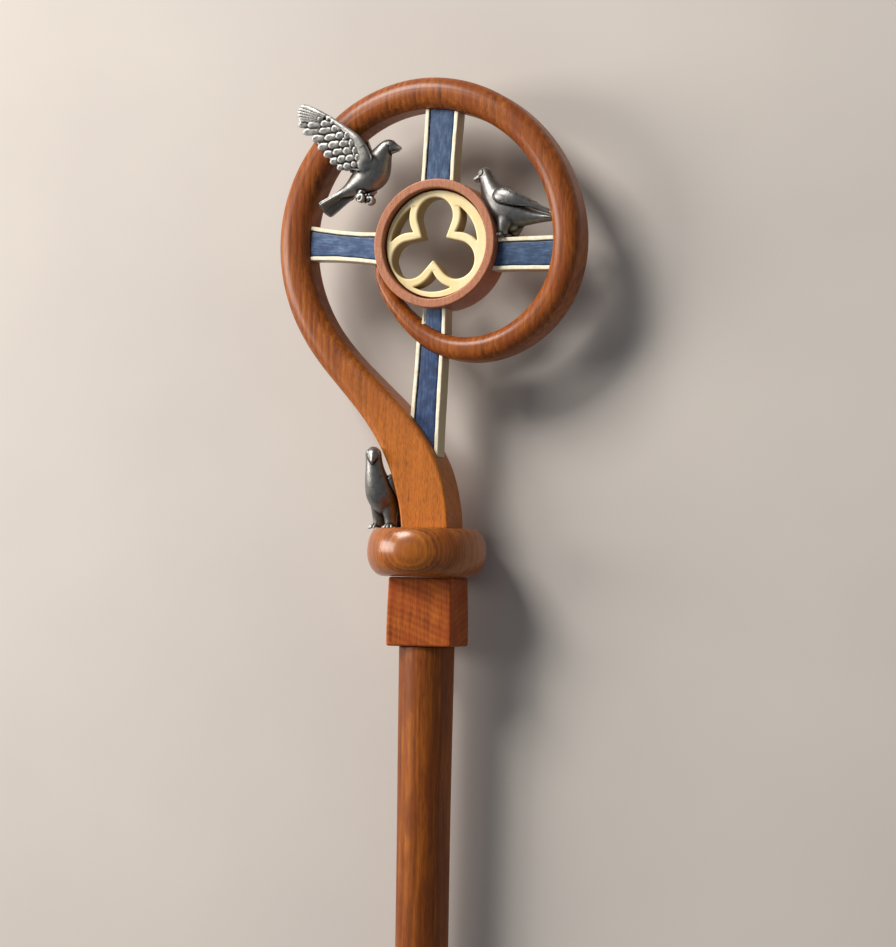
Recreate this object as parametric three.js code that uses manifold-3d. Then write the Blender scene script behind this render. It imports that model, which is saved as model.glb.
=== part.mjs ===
// Bishop's crosier: a turned and carved wooden staff whose head curls into a spiral crook.
// A painted cross spans the crook round a pierced trefoil boss, and three cast doves perch on it.
//
// Millimetres. The crosier lies on its back: x runs across it, y along it from the foot to the
// crook, and z up, out of the face of the crook. It rests on the knop and on the staff's foot.
import * as THREE from 'three';
import { mergeVertices } from 'three/addons/utils/BufferGeometryUtils.js';
import Module from 'manifold-3d';

const wasm = await Module();
wasm.setup();

// ---------------------------------------------------------------- driving dimensions
const GAP = 0.3;                       // clearance kept between touching pieces

const STAFF_LENGTH = 1450;
const STAFF_TOP_R = 17.0;              // radius just under the block
const STAFF_NECK_R = 16.3;             // radius one hand's breadth lower
const STAFF_NECK_AT = 110;
const STAFF_FOOT_R = 14.0;
const STAFF_FOOT_ROUND = 3.0;

const BLOCK_HEIGHT = 42.0;
const BLOCK_TOP = { width: 40.0, depth: 36.5 };
const BLOCK_BOTTOM = { width: 41.6, depth: 38.6 };
const BLOCK_TURN = 5.5;                // degrees it sits turned about the staff
const BLOCK_EDGE = 1.0;

const KNOP_R = 36.7;
const KNOP_HEIGHT = 29.4;
const KNOP_TOP_FACE_R = 30.6;          // radius of its flat top
const KNOP_UNDER_FACE_R = 26.2;        // radius of its flat underside
const KNOP_X = -1.3;                   // it sits a little off the staff's axis
const KNOP_FLAT = 1.8;                 // depth of the flat it lies on
const FOOT_FLAT = 1.0;                 // depth of the flat at the staff's foot

// the crook: one bar swept along a plane spiral, given by its bend (1/mm) along its length
const CROOK_START = { x: 1.83, heading: 93.54 };
const CROOK_LENGTH = 685;
const CROOK_BEND = [[0, 0.00558], [4, 0.00822], [39, 0.01068], [74, 0.0053], [109, -0.0011], [144, -0.0083],
  [184, -0.01009], [234, -0.01085], [294, -0.01159], [354, -0.01128], [414, -0.01046], [474, -0.0102],
  [524, -0.01629], [574, -0.01559], [612, -0.01973], [640, -0.00984], [662, -0.01107], [685, -0.0269]];
const CROOK_HALF_WIDTH = [[0, 15.6], [31, 15.6], [45, 14.7], [59, 13.5], [73, 12.4], [88, 11.3], [102, 10.7],
  [117, 10.3], [175, 10.2], [231, 9.85], [345, 9.8], [403, 9.3], [432, 8.85], [487, 8.95], [541, 8.6],
  [568, 8.1], [596, 7.5], [625, 6.35], [650, 4.95], [660, 4.5], [668, 3.8], [676, 3.2], [682, 2.5], [685, 1.6]];
const CROOK_HALF_DEPTH = [[0, 13], [500, 13], [541, 12.6], [568, 12], [596, 11], [625, 9.5], [650, 8],
  [668, 6.5], [680, 4.8], [685, 3.2]];
const CROOK_CORNER_IN_PLANE = [[0, 0.1], [30, 0.1], [59, 0.25], [88, 0.55], [117, 0.8], [146, 0.95], [685, 0.95]]; // of the half-width
const CROOK_CORNER_DEPTH = [[0, 1.5], [31, 1.5], [59, 2.5], [88, 4.5], [117, 6], [146, 7], [560, 7], [620, 6.2], [660, 5], [685, 3.0]];
const CROOK_STATIONS = 96;
const CROOK_CORNER_STEPS = 3;

// heights below are taken from the top of the knop
const HUB = { x: 4.2, y: 174.9, outer: 39.8, bore: 34.2, depth: 25, edge: 0.8 };
const DISC = { r: 33.9, front: 8.0, thickness: 12.0 };
const ARM = { front: 6.5, back: -5.0, strip: 2.6, recess: 0.9 };
// each arm: middle of its two ends, and its width at the ends and half-way
const ARMS = {
  arm_top: { from: [3.3, 212], to: [5.75, 258], widths: [21.8, 21.5, 22.0] },
  arm_left: { from: [-34, 173.6], to: [-83, 178.5], widths: [20.2, 18.9, 22.0] },
  arm_right: { from: [40, 167.7], to: [83, 167.3], widths: [19.9, 20.3, 20.9] },
  arm_lower_inner: { from: [2.4, 137.5], to: [2.3, 114], widths: [16.9, 16.7, 16.6] },
  arm_lower_outer: { from: [0.7, 114], to: [-3.0, 46], widths: [18.2, 19.0, 20.4] },
};

// ---------------------------------------------------------------- small helpers
const rad = THREE.MathUtils.degToRad;
const mix = THREE.MathUtils.lerp;
function table(rows, s) {
  if (s <= rows[0][0]) return rows[0][1];
  for (let i = 1; i < rows.length; i++) {
    if (s <= rows[i][0]) return mix(rows[i - 1][1], rows[i][1], (s - rows[i - 1][0]) / (rows[i][0] - rows[i - 1][0]));
  }
  return rows[rows.length - 1][1];
}
const smooth = (t) => { const c = Math.min(1, Math.max(0, t)); return c * c * (3 - 2 * c); };

// closes a geometry: only positions, shared vertices merged, faces turned outward
function closed(geometry) {
  geometry.deleteAttribute('normal');
  geometry.deleteAttribute('uv');
  const g = mergeVertices(geometry, 1e-4);
  const p = g.attributes.position;
  const kept = [];
  let volume = 0;
  const a = new THREE.Vector3(), b = new THREE.Vector3(), c = new THREE.Vector3();
  for (let i = 0; i < g.index.count; i += 3) {
    const [u, v, w] = [g.index.getX(i), g.index.getX(i + 1), g.index.getX(i + 2)];
    if (u === v || v === w || w === u) continue;
    kept.push(u, v, w);
    volume += a.fromBufferAttribute(p, u).dot(b.fromBufferAttribute(p, v).cross(c.fromBufferAttribute(p, w)));
  }
  if (volume < 0) for (let i = 0; i < kept.length; i += 3) [kept[i], kept[i + 1]] = [kept[i + 1], kept[i]];
  g.setIndex(kept);
  return g;
}

// a closed bar: a cylinder whose every vertex is moved to place(v, i), v from 0 to 1 along it
function bar(stations, around, place) {
  const g = new THREE.CylinderGeometry(1, 1, 1, around, stations, false);
  const p = g.attributes.position;
  for (let k = 0; k < p.count; k++) {
    const [x, y, z] = [p.getX(k), p.getY(k), p.getZ(k)];
    const onAxis = Math.hypot(x, z) < 1e-6;
    const i = (Math.round(Math.atan2(x, z) / (2 * Math.PI) * around) + around) % around;
    const q = place(0.5 - y, onAxis ? -1 : i);
    p.setXYZ(k, q.x, q.y, q.z);
  }
  return closed(g);
}

const solid = (g) => new wasm.Manifold(new wasm.Mesh({
  numProp: 3, vertProperties: Float32Array.from(g.attributes.position.array), triVerts: Uint32Array.from(g.index.array),
}));
function geometryOf(manifold) {
  const bodies = manifold.decompose().sort((a, b) => b.volume() - a.volume());
  const m = bodies[0].getMesh();
  const g = new THREE.BufferGeometry();
  const xyz = new Float32Array(m.numVert * 3);
  for (let i = 0; i < m.numVert; i++) for (let k = 0; k < 3; k++) xyz[i * 3 + k] = m.vertProperties[i * m.numProp + k];
  g.setAttribute('position', new THREE.BufferAttribute(xyz, 3));
  g.setIndex([...m.triVerts]);
  return g;
}
const joined = (list) => list.slice(1).reduce((sum, g) => sum.add(solid(g)), solid(list[0]));

// ---------------------------------------------------------------- the crook
function crookPath(step = 0.5) {
  let h = rad(CROOK_START.heading), x = CROOK_START.x, y = GAP;
  const points = [{ s: 0, x, y, h }];
  for (let s = 0; s < CROOK_LENGTH - step / 2; s += step) {
    const k = table(CROOK_BEND, s + step / 2);
    x += Math.cos(h + k * step / 2) * step;
    y += Math.sin(h + k * step / 2) * step;
    h += k * step;
    points.push({ s: s + step, x, y, h });
  }
  return points;
}
const PATH = crookPath();
function onPath(s) {
  const f = Math.min(Math.max(s, 0), CROOK_LENGTH) * 2;
  const i = Math.min(Math.floor(f), PATH.length - 2), t = f - i;
  const [a, b] = [PATH[i], PATH[i + 1]];
  return { x: mix(a.x, b.x, t), y: mix(a.y, b.y, t), h: mix(a.h, b.h, t) };
}
// the section is a rectangle whose corners grow into quarter ellipses along the bar
function crookSection(s, i, swell) {
  const w = table(CROOK_HALF_WIDTH, s), t = table(CROOK_HALF_DEPTH, s);
  const rx = w * table(CROOK_CORNER_IN_PLANE, s), ry = table(CROOK_CORNER_DEPTH, s);
  const n = CROOK_CORNER_STEPS + 1, corner = Math.floor(i / n), a = (corner + (i % n) / CROOK_CORNER_STEPS) * Math.PI / 2;
  const sx = corner === 0 || corner === 3 ? 1 : -1, sy = corner < 2 ? 1 : -1;
  return [sx * (w - rx) + (rx + swell) * Math.cos(a), sy * (t - ry) + (ry + swell) * Math.sin(a)];
}
function crookBar(swell = 0, stations = CROOK_STATIONS, below = 0) {
  const around = 4 * (CROOK_CORNER_STEPS + 1);
  return bar(stations, around, (v, i) => {
    const s = v * CROOK_LENGTH, p = onPath(s);
    // the foot is cut level with the knop, so the sections turn square to the path above it
    const n = p.h + Math.PI / 2 - (rad(CROOK_START.heading - 90)) * (1 - smooth(s / 40));
    const [u, z] = i < 0 ? [0, 0] : crookSection(s, i, swell);
    const drop = v === 0 ? below : 0;
    return { x: p.x + u * Math.cos(n), y: p.y + u * Math.sin(n) - drop, z };
  });
}

// ---------------------------------------------------------------- turned pieces, axis along y
function turned(profile, segments, x, y) {
  const g = new THREE.LatheGeometry(profile.map(([r, h]) => new THREE.Vector2(r, h)), segments);
  g.translate(x, y, 0);
  return closed(g);
}
function knopProfile() {
  const half = KNOP_HEIGHT / 2, steps = 5, rows = [[0, -half]];
  for (let k = 0; k <= 2 * steps; k++) {
    const a = (k / steps - 1) * Math.PI / 2, face = a < 0 ? KNOP_UNDER_FACE_R : KNOP_TOP_FACE_R;
    rows.push([face + (KNOP_R - face) * Math.cos(a), half * Math.sin(a)]);
  }
  rows.push([0, half]);
  return rows;
}
const staffRadius = (y) => table([[0, STAFF_FOOT_R], [STAFF_LENGTH - STAFF_NECK_AT, STAFF_NECK_R], [STAFF_LENGTH, STAFF_TOP_R]], y);

// the block: a four-sided collar that widens slightly downward
function blockBar() {
  return bar(4, 8, (v, i) => {
    const stop = [0, 0.03, 0.5, 0.97, 1][Math.round(v * 4)];
    const inset = stop === 0 || stop === 1 ? BLOCK_EDGE : 0;
    const w = mix(BLOCK_TOP.width, BLOCK_BOTTOM.width, stop) / 2 - inset;
    const d = mix(BLOCK_TOP.depth, BLOCK_BOTTOM.depth, stop) / 2 - inset;
    if (i < 0) return { x: 0, y: -stop * BLOCK_HEIGHT, z: 0 };
    const corner = Math.floor(i / 2), e = BLOCK_EDGE;
    const [sx, sz] = [[1, 1], [-1, 1], [-1, -1], [1, -1]][corner];
    const first = (i % 2 === 0) === (corner % 2 === 0);
    const x = sx * (first ? w : w - e), z = sz * (first ? d - e : d), a = rad(BLOCK_TURN);
    return { x: x * Math.cos(a) + z * Math.sin(a), y: -stop * BLOCK_HEIGHT, z: -x * Math.sin(a) + z * Math.cos(a) };
  });
}

// ---------------------------------------------------------------- the boss and its tracery
function ringProfile() {
  const { outer, bore, depth, edge } = HUB, h = depth / 2;
  return [[bore, -h + edge], [bore + edge, -h], [outer - edge, -h], [outer, -h + edge], [outer, h - edge],
    [outer - edge, h], [bore + edge, h], [bore, h - edge], [bore, -h + edge]];
}
// a disc pierced by a trefoil and, between its lobes, three small three-cornered openings
const TREFOIL = { x: -1.9, y: -0.7, turn: -1.5, reach: 18.0, lobe: 11.7, cusp: 9.0, steps: 14 };
const PIERCING = { rim: 28.6, bar: 5.5, steps: 5 };
function trefoilOutline() {
  const { reach, lobe, cusp, steps } = TREFOIL, points = [];
  const chord = Math.hypot(reach - cusp * 0.5, cusp * Math.sin(Math.PI / 3));
  const toCusp = Math.atan2(cusp * Math.sin(Math.PI / 3), cusp * 0.5 - reach);  // seen from the lobe's middle
  const open = toCusp - Math.acos(lobe / chord);                                 // where the straight flank leaves the lobe
  for (let k = 0; k < 3; k++) {
    const axis = Math.PI / 2 + rad(TREFOIL.turn) + k * 2 * Math.PI / 3;
    points.push([cusp, axis - Math.PI / 3, 0, 0]);
    for (let j = 0; j <= steps; j++) points.push([reach, axis, lobe, axis + open * (2 * j / steps - 1)]);
  }
  return points.map(([r, a, q, b]) => new THREE.Vector2(
    TREFOIL.x + r * Math.cos(a) + q * Math.cos(b), TREFOIL.y + r * Math.sin(a) + q * Math.sin(b)));
}
function piercingOutline(k) {
  const { reach, lobe } = TREFOIL, { rim, bar: width, steps } = PIERCING, R = lobe + width, points = [];
  const axis = Math.PI / 2 + rad(TREFOIL.turn) + Math.PI / 3 + k * 2 * Math.PI / 3;
  const inner = (reach + Math.sqrt(reach * reach - 4 * (reach * reach - R * R))) / 2;
  const spread = Math.PI / 3 - Math.acos((rim * rim + reach * reach - R * R) / (2 * rim * reach));
  const at = (r, a) => [r * Math.cos(a), r * Math.sin(a)];
  const side = (s) => {                    // along the flank of one lobe, from the inner corner to the rim
    const c = at(reach, axis + s * Math.PI / 3), p = at(inner, axis), q = at(rim, axis + s * spread);
    const a = Math.atan2(p[1] - c[1], p[0] - c[0]);
    let d = Math.atan2(q[1] - c[1], q[0] - c[0]) - a;
    d = Math.atan2(Math.sin(d), Math.cos(d));
    return Array.from({ length: steps + 1 }, (_, j) => [c[0] + R * Math.cos(a + d * j / steps), c[1] + R * Math.sin(a + d * j / steps)]);
  };
  points.push(...side(1));
  for (let j = 1; j < steps; j++) points.push(at(rim, axis + spread * (1 - 2 * j / steps)));
  points.push(...side(-1).reverse().slice(0, -1));
  return points.map(([x, y]) => new THREE.Vector2(TREFOIL.x + x, TREFOIL.y + y));
}
function traceryPlate() {
  const shape = new THREE.Shape();
  shape.absarc(0, 0, DISC.r, 0, 2 * Math.PI, false);
  for (const outline of [trefoilOutline(), ...[0, 1, 2].map(piercingOutline)]) {
    const hole = new THREE.Path();
    hole.setFromPoints(outline);
    shape.holes.push(hole);
  }
  const g = new THREE.ExtrudeGeometry(shape, { depth: DISC.thickness, bevelEnabled: false, curveSegments: 28 });
  g.translate(HUB.x, HUB.y, DISC.front - DISC.thickness);
  return closed(g);
}

// ---------------------------------------------------------------- the arms of the cross
// a bar with a sunk front panel between two raised edge strips
function armBar({ from, to, widths }) {
  const [dx, dy] = [to[0] - from[0], to[1] - from[1]], length = Math.hypot(dx, dy);
  const [ux, uy] = [dx / length, dy / length], { front, back, strip, recess } = ARM;
  return bar(6, 8, (v, i) => {
    const [a, m, b] = widths, w = (a * (1 - v) * (1 - 2 * v) + 4 * m * v * (1 - v) + b * v * (2 * v - 1)) / 2;
    const e = w - strip, floor = front - recess, mid = (front + back) / 2;
    const [p, z] = i < 0 ? [0, mid] : [[-w, front], [-e, front], [-e, floor], [e, floor], [e, front], [w, front], [w, back], [-w, back]][i];
    return { x: from[0] + dx * v - uy * p, y: from[1] + dy * v + ux * p, z };
  });
}

// ---------------------------------------------------------------- the doves
// a body of oval sections strung along a smooth line; rows are [x, y, z, half-height, half-width]
function body(rows, stations = 16, around = 10) {
  const line = new THREE.CatmullRomCurve3(rows.map(([x, y, z]) => new THREE.Vector3(x, y, z)), false, 'centripetal');
  const last = rows.length - 1;
  return bar(stations, around, (v, i) => {
    const p = line.getPoint(v), d = line.getTangent(v), k = Math.min(Math.floor(v * last), last - 1), f = v * last - k;
    const hh = mix(rows[k][3], rows[k + 1][3], f), hw = mix(rows[k][4], rows[k + 1][4], f);
    if (i < 0) return p;
    const a = i / around * 2 * Math.PI, side = new THREE.Vector3(0, 0, 1), up = side.clone().cross(d).normalize();
    side.copy(d).cross(up).normalize();
    return p.clone().addScaledVector(up, hh * Math.cos(a)).addScaledVector(side, hw * Math.sin(a));
  });
}
// a spread wing: a plate whose outline is a smooth closed line round its root, edges and tip
function spreadWing(outline, z, thickness) {
  const line = new THREE.CatmullRomCurve3(outline.map(([x, y]) => new THREE.Vector3(x, y, 0)), true, 'centripetal');
  const shape = new THREE.Shape(line.getPoints(30).slice(0, -1).map((p) => new THREE.Vector2(p.x, p.y)));
  const g = new THREE.ExtrudeGeometry(shape, { depth: thickness, bevelEnabled: false });
  g.translate(0, 0, z - thickness / 2);
  return closed(g);
}
const DOVES = {
  flying: {
    body: [[-82, 201.5, 4, 0.6, 5.5], [-73, 204, 4, 2.6, 6.5], [-66, 209.5, 4, 3.6, 5.5], [-59, 212, 4, 4.0, 4.4],
      [-50.5, 215.3, 4, 6.8, 7.5], [-40.8, 221.4, 4, 10.4, 9.4], [-36, 229.1, 4, 8.2, 8.0], [-33.2, 234.6, 4, 5.4, 5.6],
      [-30.2, 237.2, 4, 4.9, 4.9], [-26.5, 237, 4, 3.0, 3.2], [-24.5, 236.7, 4, 1.5, 1.6], [-21.5, 236.3, 4, 0.4, 0.4]],
    near: { outline: [[-41, 232], [-49, 244], [-58, 253], [-65.5, 256.2], [-74, 260.4], [-85, 264.8], [-89, 261], [-88.4, 255],
      [-84, 248.5], [-79, 244.5], [-72, 236.5], [-67, 228], [-60, 222.5], [-52, 219.5], [-44, 221]], z: 15.0, thickness: 3.2 },
    far: { outline: [[-43, 232], [-45, 243], [-48.5, 256], [-54.5, 264], [-62, 261.5], [-67, 252], [-66.5, 239], [-61, 226], [-53, 219], [-45, 221]], z: -15.0, thickness: 3.0 },
    // where each wing leaves the body
    roots: [[[-47, 226, 4, 5.0, 4.5], [-48, 227, 9, 6.5, 6.5], [-49, 228, 14.5, 6.0, 6.0]], [[-47, 226, 0, 5.0, 4.5], [-48, 227, -6, 6.0, 6.0], [-50, 228, -14.5, 5.5, 5.5]]],
    feet: [[[-42, 212, 7, 2.4, 2.4], [-43.5, 207, 7.5, 2.6, 2.8], [-43, 202.5, 7.5, 1.6, 2.2]], [[-50, 211.5, 1, 2.2, 2.2], [-52, 206.5, 0.5, 2.4, 2.6], [-52, 203, 0.5, 1.2, 1.8]]],
  },
  perched: {
    body: [[79, 190.2, 1, 0.8, 4.6], [73.5, 191.2, 1, 2.6, 4.6], [66, 193, 1, 4.2, 5.2], [58, 194.3, 1, 7.6, 8.2], [49, 196.3, 1, 10.6, 10.0],
      [41.5, 201, 1, 10.4, 9.6], [37.5, 207.5, 1, 7.6, 7.6], [35, 213, 1, 5.0, 5.2], [32.8, 217.4, 1, 4.6, 4.8], [29.7, 217.2, 1, 3.2, 3.3],
      [28.2, 216.2, 1, 1.5, 1.5], [25.4, 214.8, 1, 0.4, 0.4]],
    wing: [[40.5, 203.5, 3.2, 2.6], [46, 202, 5.4, 3.2], [55, 198.8, 5.2, 3.0], [65, 194.8, 3.2, 2.4], [74, 191.5, 1.2, 1.4]],
    wingOut: [8.2, 9.3, 8.2, 5.6, 3.6],
    feet: [[46, 188, 4.4], [53, 187, -2.2]],
    floor: 178.0,
  },
  standing: {
    // in its own upright plane: forward is -x, and the whole bird is turned to face out of the crook
    body: [[23, 6.5, 0, 0.8, 4.2], [18, 11, 0, 2.4, 4.6], [12, 16.5, 0, 4.6, 6.0], [4, 21.5, 0, 8.8, 9.2], [-2, 28, 0, 9.2, 9.8],
      [-4, 35, 0, 7.0, 7.6], [-4.8, 40.5, 0, 5.2, 5.2], [-5.4, 44.8, 0, 5.0, 5.3], [-8.6, 45.0, 0, 3.6, 3.8], [-10.6, 43.6, 0, 1.6, 1.8],
      [-13.4, 41.8, 0, 0.5, 0.5]],
    wing: [[-1.5, 34, 3.0, 2.4], [3, 28.5, 5.6, 3.0], [9, 21.5, 5.0, 2.8], [16, 14, 3.0, 2.2], [22, 8.5, 1.0, 1.2]],
    wingOut: [7.4, 9.0, 8.0, 5.6, 3.4],
    feet: [[0.5, 12, 6.2], [0.5, 12, -6.2]],
    at: [-29.0, 3.2], heading: 106,     // degrees about the staff from the crook's left, turned toward its face
    floor: GAP,
  },
};
function foldedDove({ body: rows, wing, wingOut, feet, floor }) {
  const parts = [body(rows, 16)];
  const z0 = rows[0][2];
  for (const s of [1, -1]) parts.push(body(wing.map(([x, y, hh, hw], k) => [x, y, z0 + s * wingOut[k], hh, hw]), 6, 8));
  for (const [x, y, out] of feet) {
    parts.push(body([[x + 1, y + 8, z0 + out * 0.8, 1.8, 1.8], [x, (y + floor) / 2 + 1, z0 + out, 1.4, 1.5], [x - 0.5, floor + 1.2, z0 + out, 1.3, 1.5]], 2, 6));
    parts.push(body([[x + 3.4, floor + 0.75, z0 + out, 0.5, 0.9], [x, floor + 1.15, z0 + out, 1.1, 2.6], [x - 4.6, floor + 0.75, z0 + out, 0.5, 2.2]], 4, 6));
  }
  return joined(parts);
}

// ---------------------------------------------------------------- assembly
const WOOD = { color: 0x9c5522, roughness: 0.32, metalness: 0 };
const FINISH = {
  staff: WOOD, block: { color: 0x9a4d22, roughness: 0.4, metalness: 0 }, knop: { color: 0xa65e20, roughness: 0.3, metalness: 0 },
  crook: { color: 0xa75e22, roughness: 0.3, metalness: 0 }, hub: { color: 0xb87a58, roughness: 0.55, metalness: 0 },
  cream: { color: 0xf3e2ac, roughness: 0.6, metalness: 0 }, blue: { color: 0x2c4a78, roughness: 0.6, metalness: 0 },
  pewter: { color: 0x85868a, roughness: 0.35, metalness: 1 },
};
const knopTop = STAFF_LENGTH + GAP + BLOCK_HEIGHT + GAP + KNOP_HEIGHT;
const knopMiddle = knopTop - KNOP_HEIGHT / 2;

// the floor it lies on: a plane under the knop's flat and the flat at the staff's foot
const underKnop = KNOP_R - KNOP_FLAT, underFoot = STAFF_FOOT_R - FOOT_FLAT;
const tilt = Math.atan2(underKnop - underFoot, knopMiddle);
function floorBlock(lift) {
  const g = new THREE.BoxGeometry(200, 2200, 100);
  g.translate(0, 700, -50 - underFoot * Math.cos(tilt));
  g.rotateX(-tilt);
  g.translate(0, lift, 0);
  return solid(closed(g));
}

const crookCut = solid(crookBar(GAP, CROOK_STATIONS, 5));
const hubCut = solid(turned([[0, -60], [HUB.outer + GAP, -60], [HUB.outer + GAP, 60], [0, 60]], 40, 0, 0).rotateX(Math.PI / 2).translate(HUB.x, HUB.y, 0));

const staffRows = [[0, 0], [STAFF_FOOT_R - STAFF_FOOT_ROUND, 0], [STAFF_FOOT_R - 0.8, 0.9], [STAFF_FOOT_R, STAFF_FOOT_ROUND]];
for (const y of [360, 720, 1080, STAFF_LENGTH - STAFF_NECK_AT, STAFF_LENGTH - 50, STAFF_LENGTH]) staffRows.push([staffRadius(y), y]);
staffRows.push([0, STAFF_LENGTH]);

const geometries = {
  staff: geometryOf(solid(turned(staffRows, 24, 0, 0)).subtract(floorBlock(0))),
  block: blockBar().translate(0, STAFF_LENGTH + GAP + BLOCK_HEIGHT, 0),
  knop: geometryOf(solid(turned(knopProfile(), 40, KNOP_X, knopMiddle)).subtract(floorBlock(0))),
  crook: crookBar(),
  hub_ring: turned(ringProfile(), 40, 0, 0).rotateX(Math.PI / 2).translate(HUB.x, HUB.y, 0),
  tracery: traceryPlate(),
};
for (const [name, arm] of Object.entries(ARMS)) geometries[name] = geometryOf(solid(armBar(arm)).subtract(crookCut).subtract(hubCut));

{
  const { body: rows, near, far, roots, feet } = DOVES.flying;
  const parts = [body(rows, 18), spreadWing(near.outline, near.z, near.thickness), spreadWing(far.outline, far.z, far.thickness)];
  for (const r of roots) parts.push(body(r, 3, 8));
  for (const f of feet) parts.push(body(f, 4, 6));
  geometries.dove_flying = geometryOf(joined(parts).subtract(crookCut));
}
geometries.dove_perched = geometryOf(foldedDove(DOVES.perched).subtract(hubCut).subtract(crookCut));
{
  const { at, heading } = DOVES.standing;
  const g = geometryOf(foldedDove(DOVES.standing));
  g.rotateY(rad(180 - heading)).translate(at[0], 0, at[1]);
  geometries.dove_standing = geometryOf(solid(g).subtract(crookCut));
}

const finishOf = (name) => name.startsWith('dove') ? FINISH.pewter : name.startsWith('arm') ? FINISH.blue
  : name === 'tracery' ? FINISH.cream : name === 'hub_ring' ? FINISH.hub : FINISH[name];
const crosier = new THREE.Group(), head = new THREE.Group();
head.position.y = knopTop;
const onStaff = ['staff', 'block', 'knop'];
for (const [name, geometry] of Object.entries(geometries)) {
  geometry.computeVertexNormals();
  const mesh = new THREE.Mesh(geometry, new THREE.MeshStandardMaterial(finishOf(name)));
  mesh.name = name;
  (onStaff.includes(name) ? crosier : head).add(mesh);
}
crosier.add(head);

// lay it down on its flats and put the origin under the middle of its box
crosier.rotation.x = tilt;
crosier.updateMatrixWorld(true);
const box = new THREE.Box3().setFromObject(crosier, true);
crosier.position.set(-(box.min.x + box.max.x) / 2, -(box.min.y + box.max.y) / 2, -box.min.z);

export default crosier;
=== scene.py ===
import math

import bmesh
import bpy
import numpy as np
from mathutils import Matrix, Vector


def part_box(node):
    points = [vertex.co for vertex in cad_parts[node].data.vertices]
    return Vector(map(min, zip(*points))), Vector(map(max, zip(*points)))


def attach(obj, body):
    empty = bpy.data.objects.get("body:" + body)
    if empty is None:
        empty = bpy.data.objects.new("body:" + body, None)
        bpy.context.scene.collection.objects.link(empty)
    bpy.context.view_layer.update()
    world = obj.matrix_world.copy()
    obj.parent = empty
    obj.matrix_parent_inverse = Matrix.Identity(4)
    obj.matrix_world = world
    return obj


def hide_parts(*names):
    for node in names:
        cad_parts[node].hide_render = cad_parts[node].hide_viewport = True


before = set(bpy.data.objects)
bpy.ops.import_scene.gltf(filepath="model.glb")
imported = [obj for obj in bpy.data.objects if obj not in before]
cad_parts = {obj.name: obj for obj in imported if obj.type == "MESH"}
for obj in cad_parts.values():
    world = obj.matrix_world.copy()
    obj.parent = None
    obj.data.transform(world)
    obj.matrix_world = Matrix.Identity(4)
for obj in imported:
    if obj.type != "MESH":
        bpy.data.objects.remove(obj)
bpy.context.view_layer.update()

MM = 0.001
GAP = 0.3

STAFF_LENGTH = 1450.0
BLOCK_HEIGHT = 42.0
KNOP_HEIGHT = 29.4
KNOP_TOP = STAFF_LENGTH + GAP + BLOCK_HEIGHT + GAP + KNOP_HEIGHT
KNOP_MIDDLE = KNOP_TOP - KNOP_HEIGHT / 2
KNOP_R, KNOP_X, KNOP_FLAT = 36.7, -1.3, 1.8
FOOT_R, FOOT_FLAT = 14.0, 1.0
HUB = dict(x=4.2, y=174.9, outer=39.8, bore=34.2, depth=25.0)
TILT = math.atan2((KNOP_R - KNOP_FLAT) - (FOOT_R - FOOT_FLAT), KNOP_MIDDLE)

low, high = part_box("hub_ring")
TURN = Matrix.Rotation(TILT, 4, "X")
PLACE = Matrix.Translation((low + high) / 2 - TURN @ Vector((HUB["x"] * MM, (KNOP_TOP + HUB["y"]) * MM, 0))) @ TURN
FLOOR_Z = -PLACE.translation.z / MM / math.cos(TILT)      # height of the floor under the foot, in the crosier's frame


def floor_at(y):
    return FLOOR_Z - y * math.tan(TILT)


# ---------------------------------------------------------------- small helpers
def table(rows, s):
    r = np.asarray(rows, float)
    return np.interp(s, r[:, 0], r[:, 1])


def eased(rows, end, sigma):
    """the table read smoothly: sampled every half millimetre and blurred a little"""
    s = np.arange(0, end + 0.25, 0.5)
    v = table(rows, s)
    n = int(sigma * 6)
    k = np.exp(-0.5 * (np.arange(-n, n + 1) * 0.5 / sigma) ** 2)
    k /= k.sum()
    a, b = 2 * v[0] - v[n:0:-1], 2 * v[-1] - v[-2:-n - 2:-1]
    w = np.convolve(np.concatenate([a, v, b]), k, "valid")
    return lambda q: np.interp(q, s, w)


def smooth01(t):
    t = np.clip(t, 0, 1)
    return t * t * (3 - 2 * t)


def waves(*args):
    """a gentle unevenness: a few sines out of step"""
    total = 0.0
    for k, a in enumerate(args):
        total = total + np.sin(a + 1.7 * k) * (1.0 if k % 2 else 0.7)
    return total / max(1, len(args))


def tube(n, m):
    i, j = np.arange(n - 1)[:, None], np.arange(m)[None, :]
    a, b = i * m + j, i * m + (j + 1) % m
    return np.stack([a, b, b + m, a + m], -1).reshape(-1, 4).tolist()


def mesh_of(name, verts, faces, outward=True):
    me = bpy.data.meshes.new(name)
    me.from_pydata(np.asarray(verts, float).tolist(), [], faces)
    me.update()
    if outward:
        bm = bmesh.new()
        bm.from_mesh(me)
        bmesh.ops.recalc_face_normals(bm, faces=bm.faces)
        bm.to_mesh(me)
        bm.free()
    return me


def piece(name, me, material, node, sharp=None, scaled=False):
    """a finished mesh in the crosier's frame becomes a piece that stands for its CAD node"""
    if not scaled:
        me.transform(Matrix.Scale(MM, 4))
    me.shade_smooth()
    if sharp is not None:
        me.set_sharp_from_angle(angle=math.radians(sharp))
    ob = bpy.data.objects.new(name.replace(" ", "_"), me)
    bpy.context.scene.collection.objects.link(ob)
    ob.matrix_world = PLACE
    me.materials.clear()
    me.materials.append(material)
    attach(ob, "root")
    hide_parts(node)
    return ob


def evaluated(me, setup):
    """the mesh after the modifiers that setup adds"""
    ob = bpy.data.objects.new("work", me)
    bpy.context.scene.collection.objects.link(ob)
    setup(ob)
    bpy.context.view_layer.update()
    out = bpy.data.meshes.new_from_object(ob.evaluated_get(bpy.context.evaluated_depsgraph_get()))
    bpy.data.objects.remove(ob)
    return out


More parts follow.
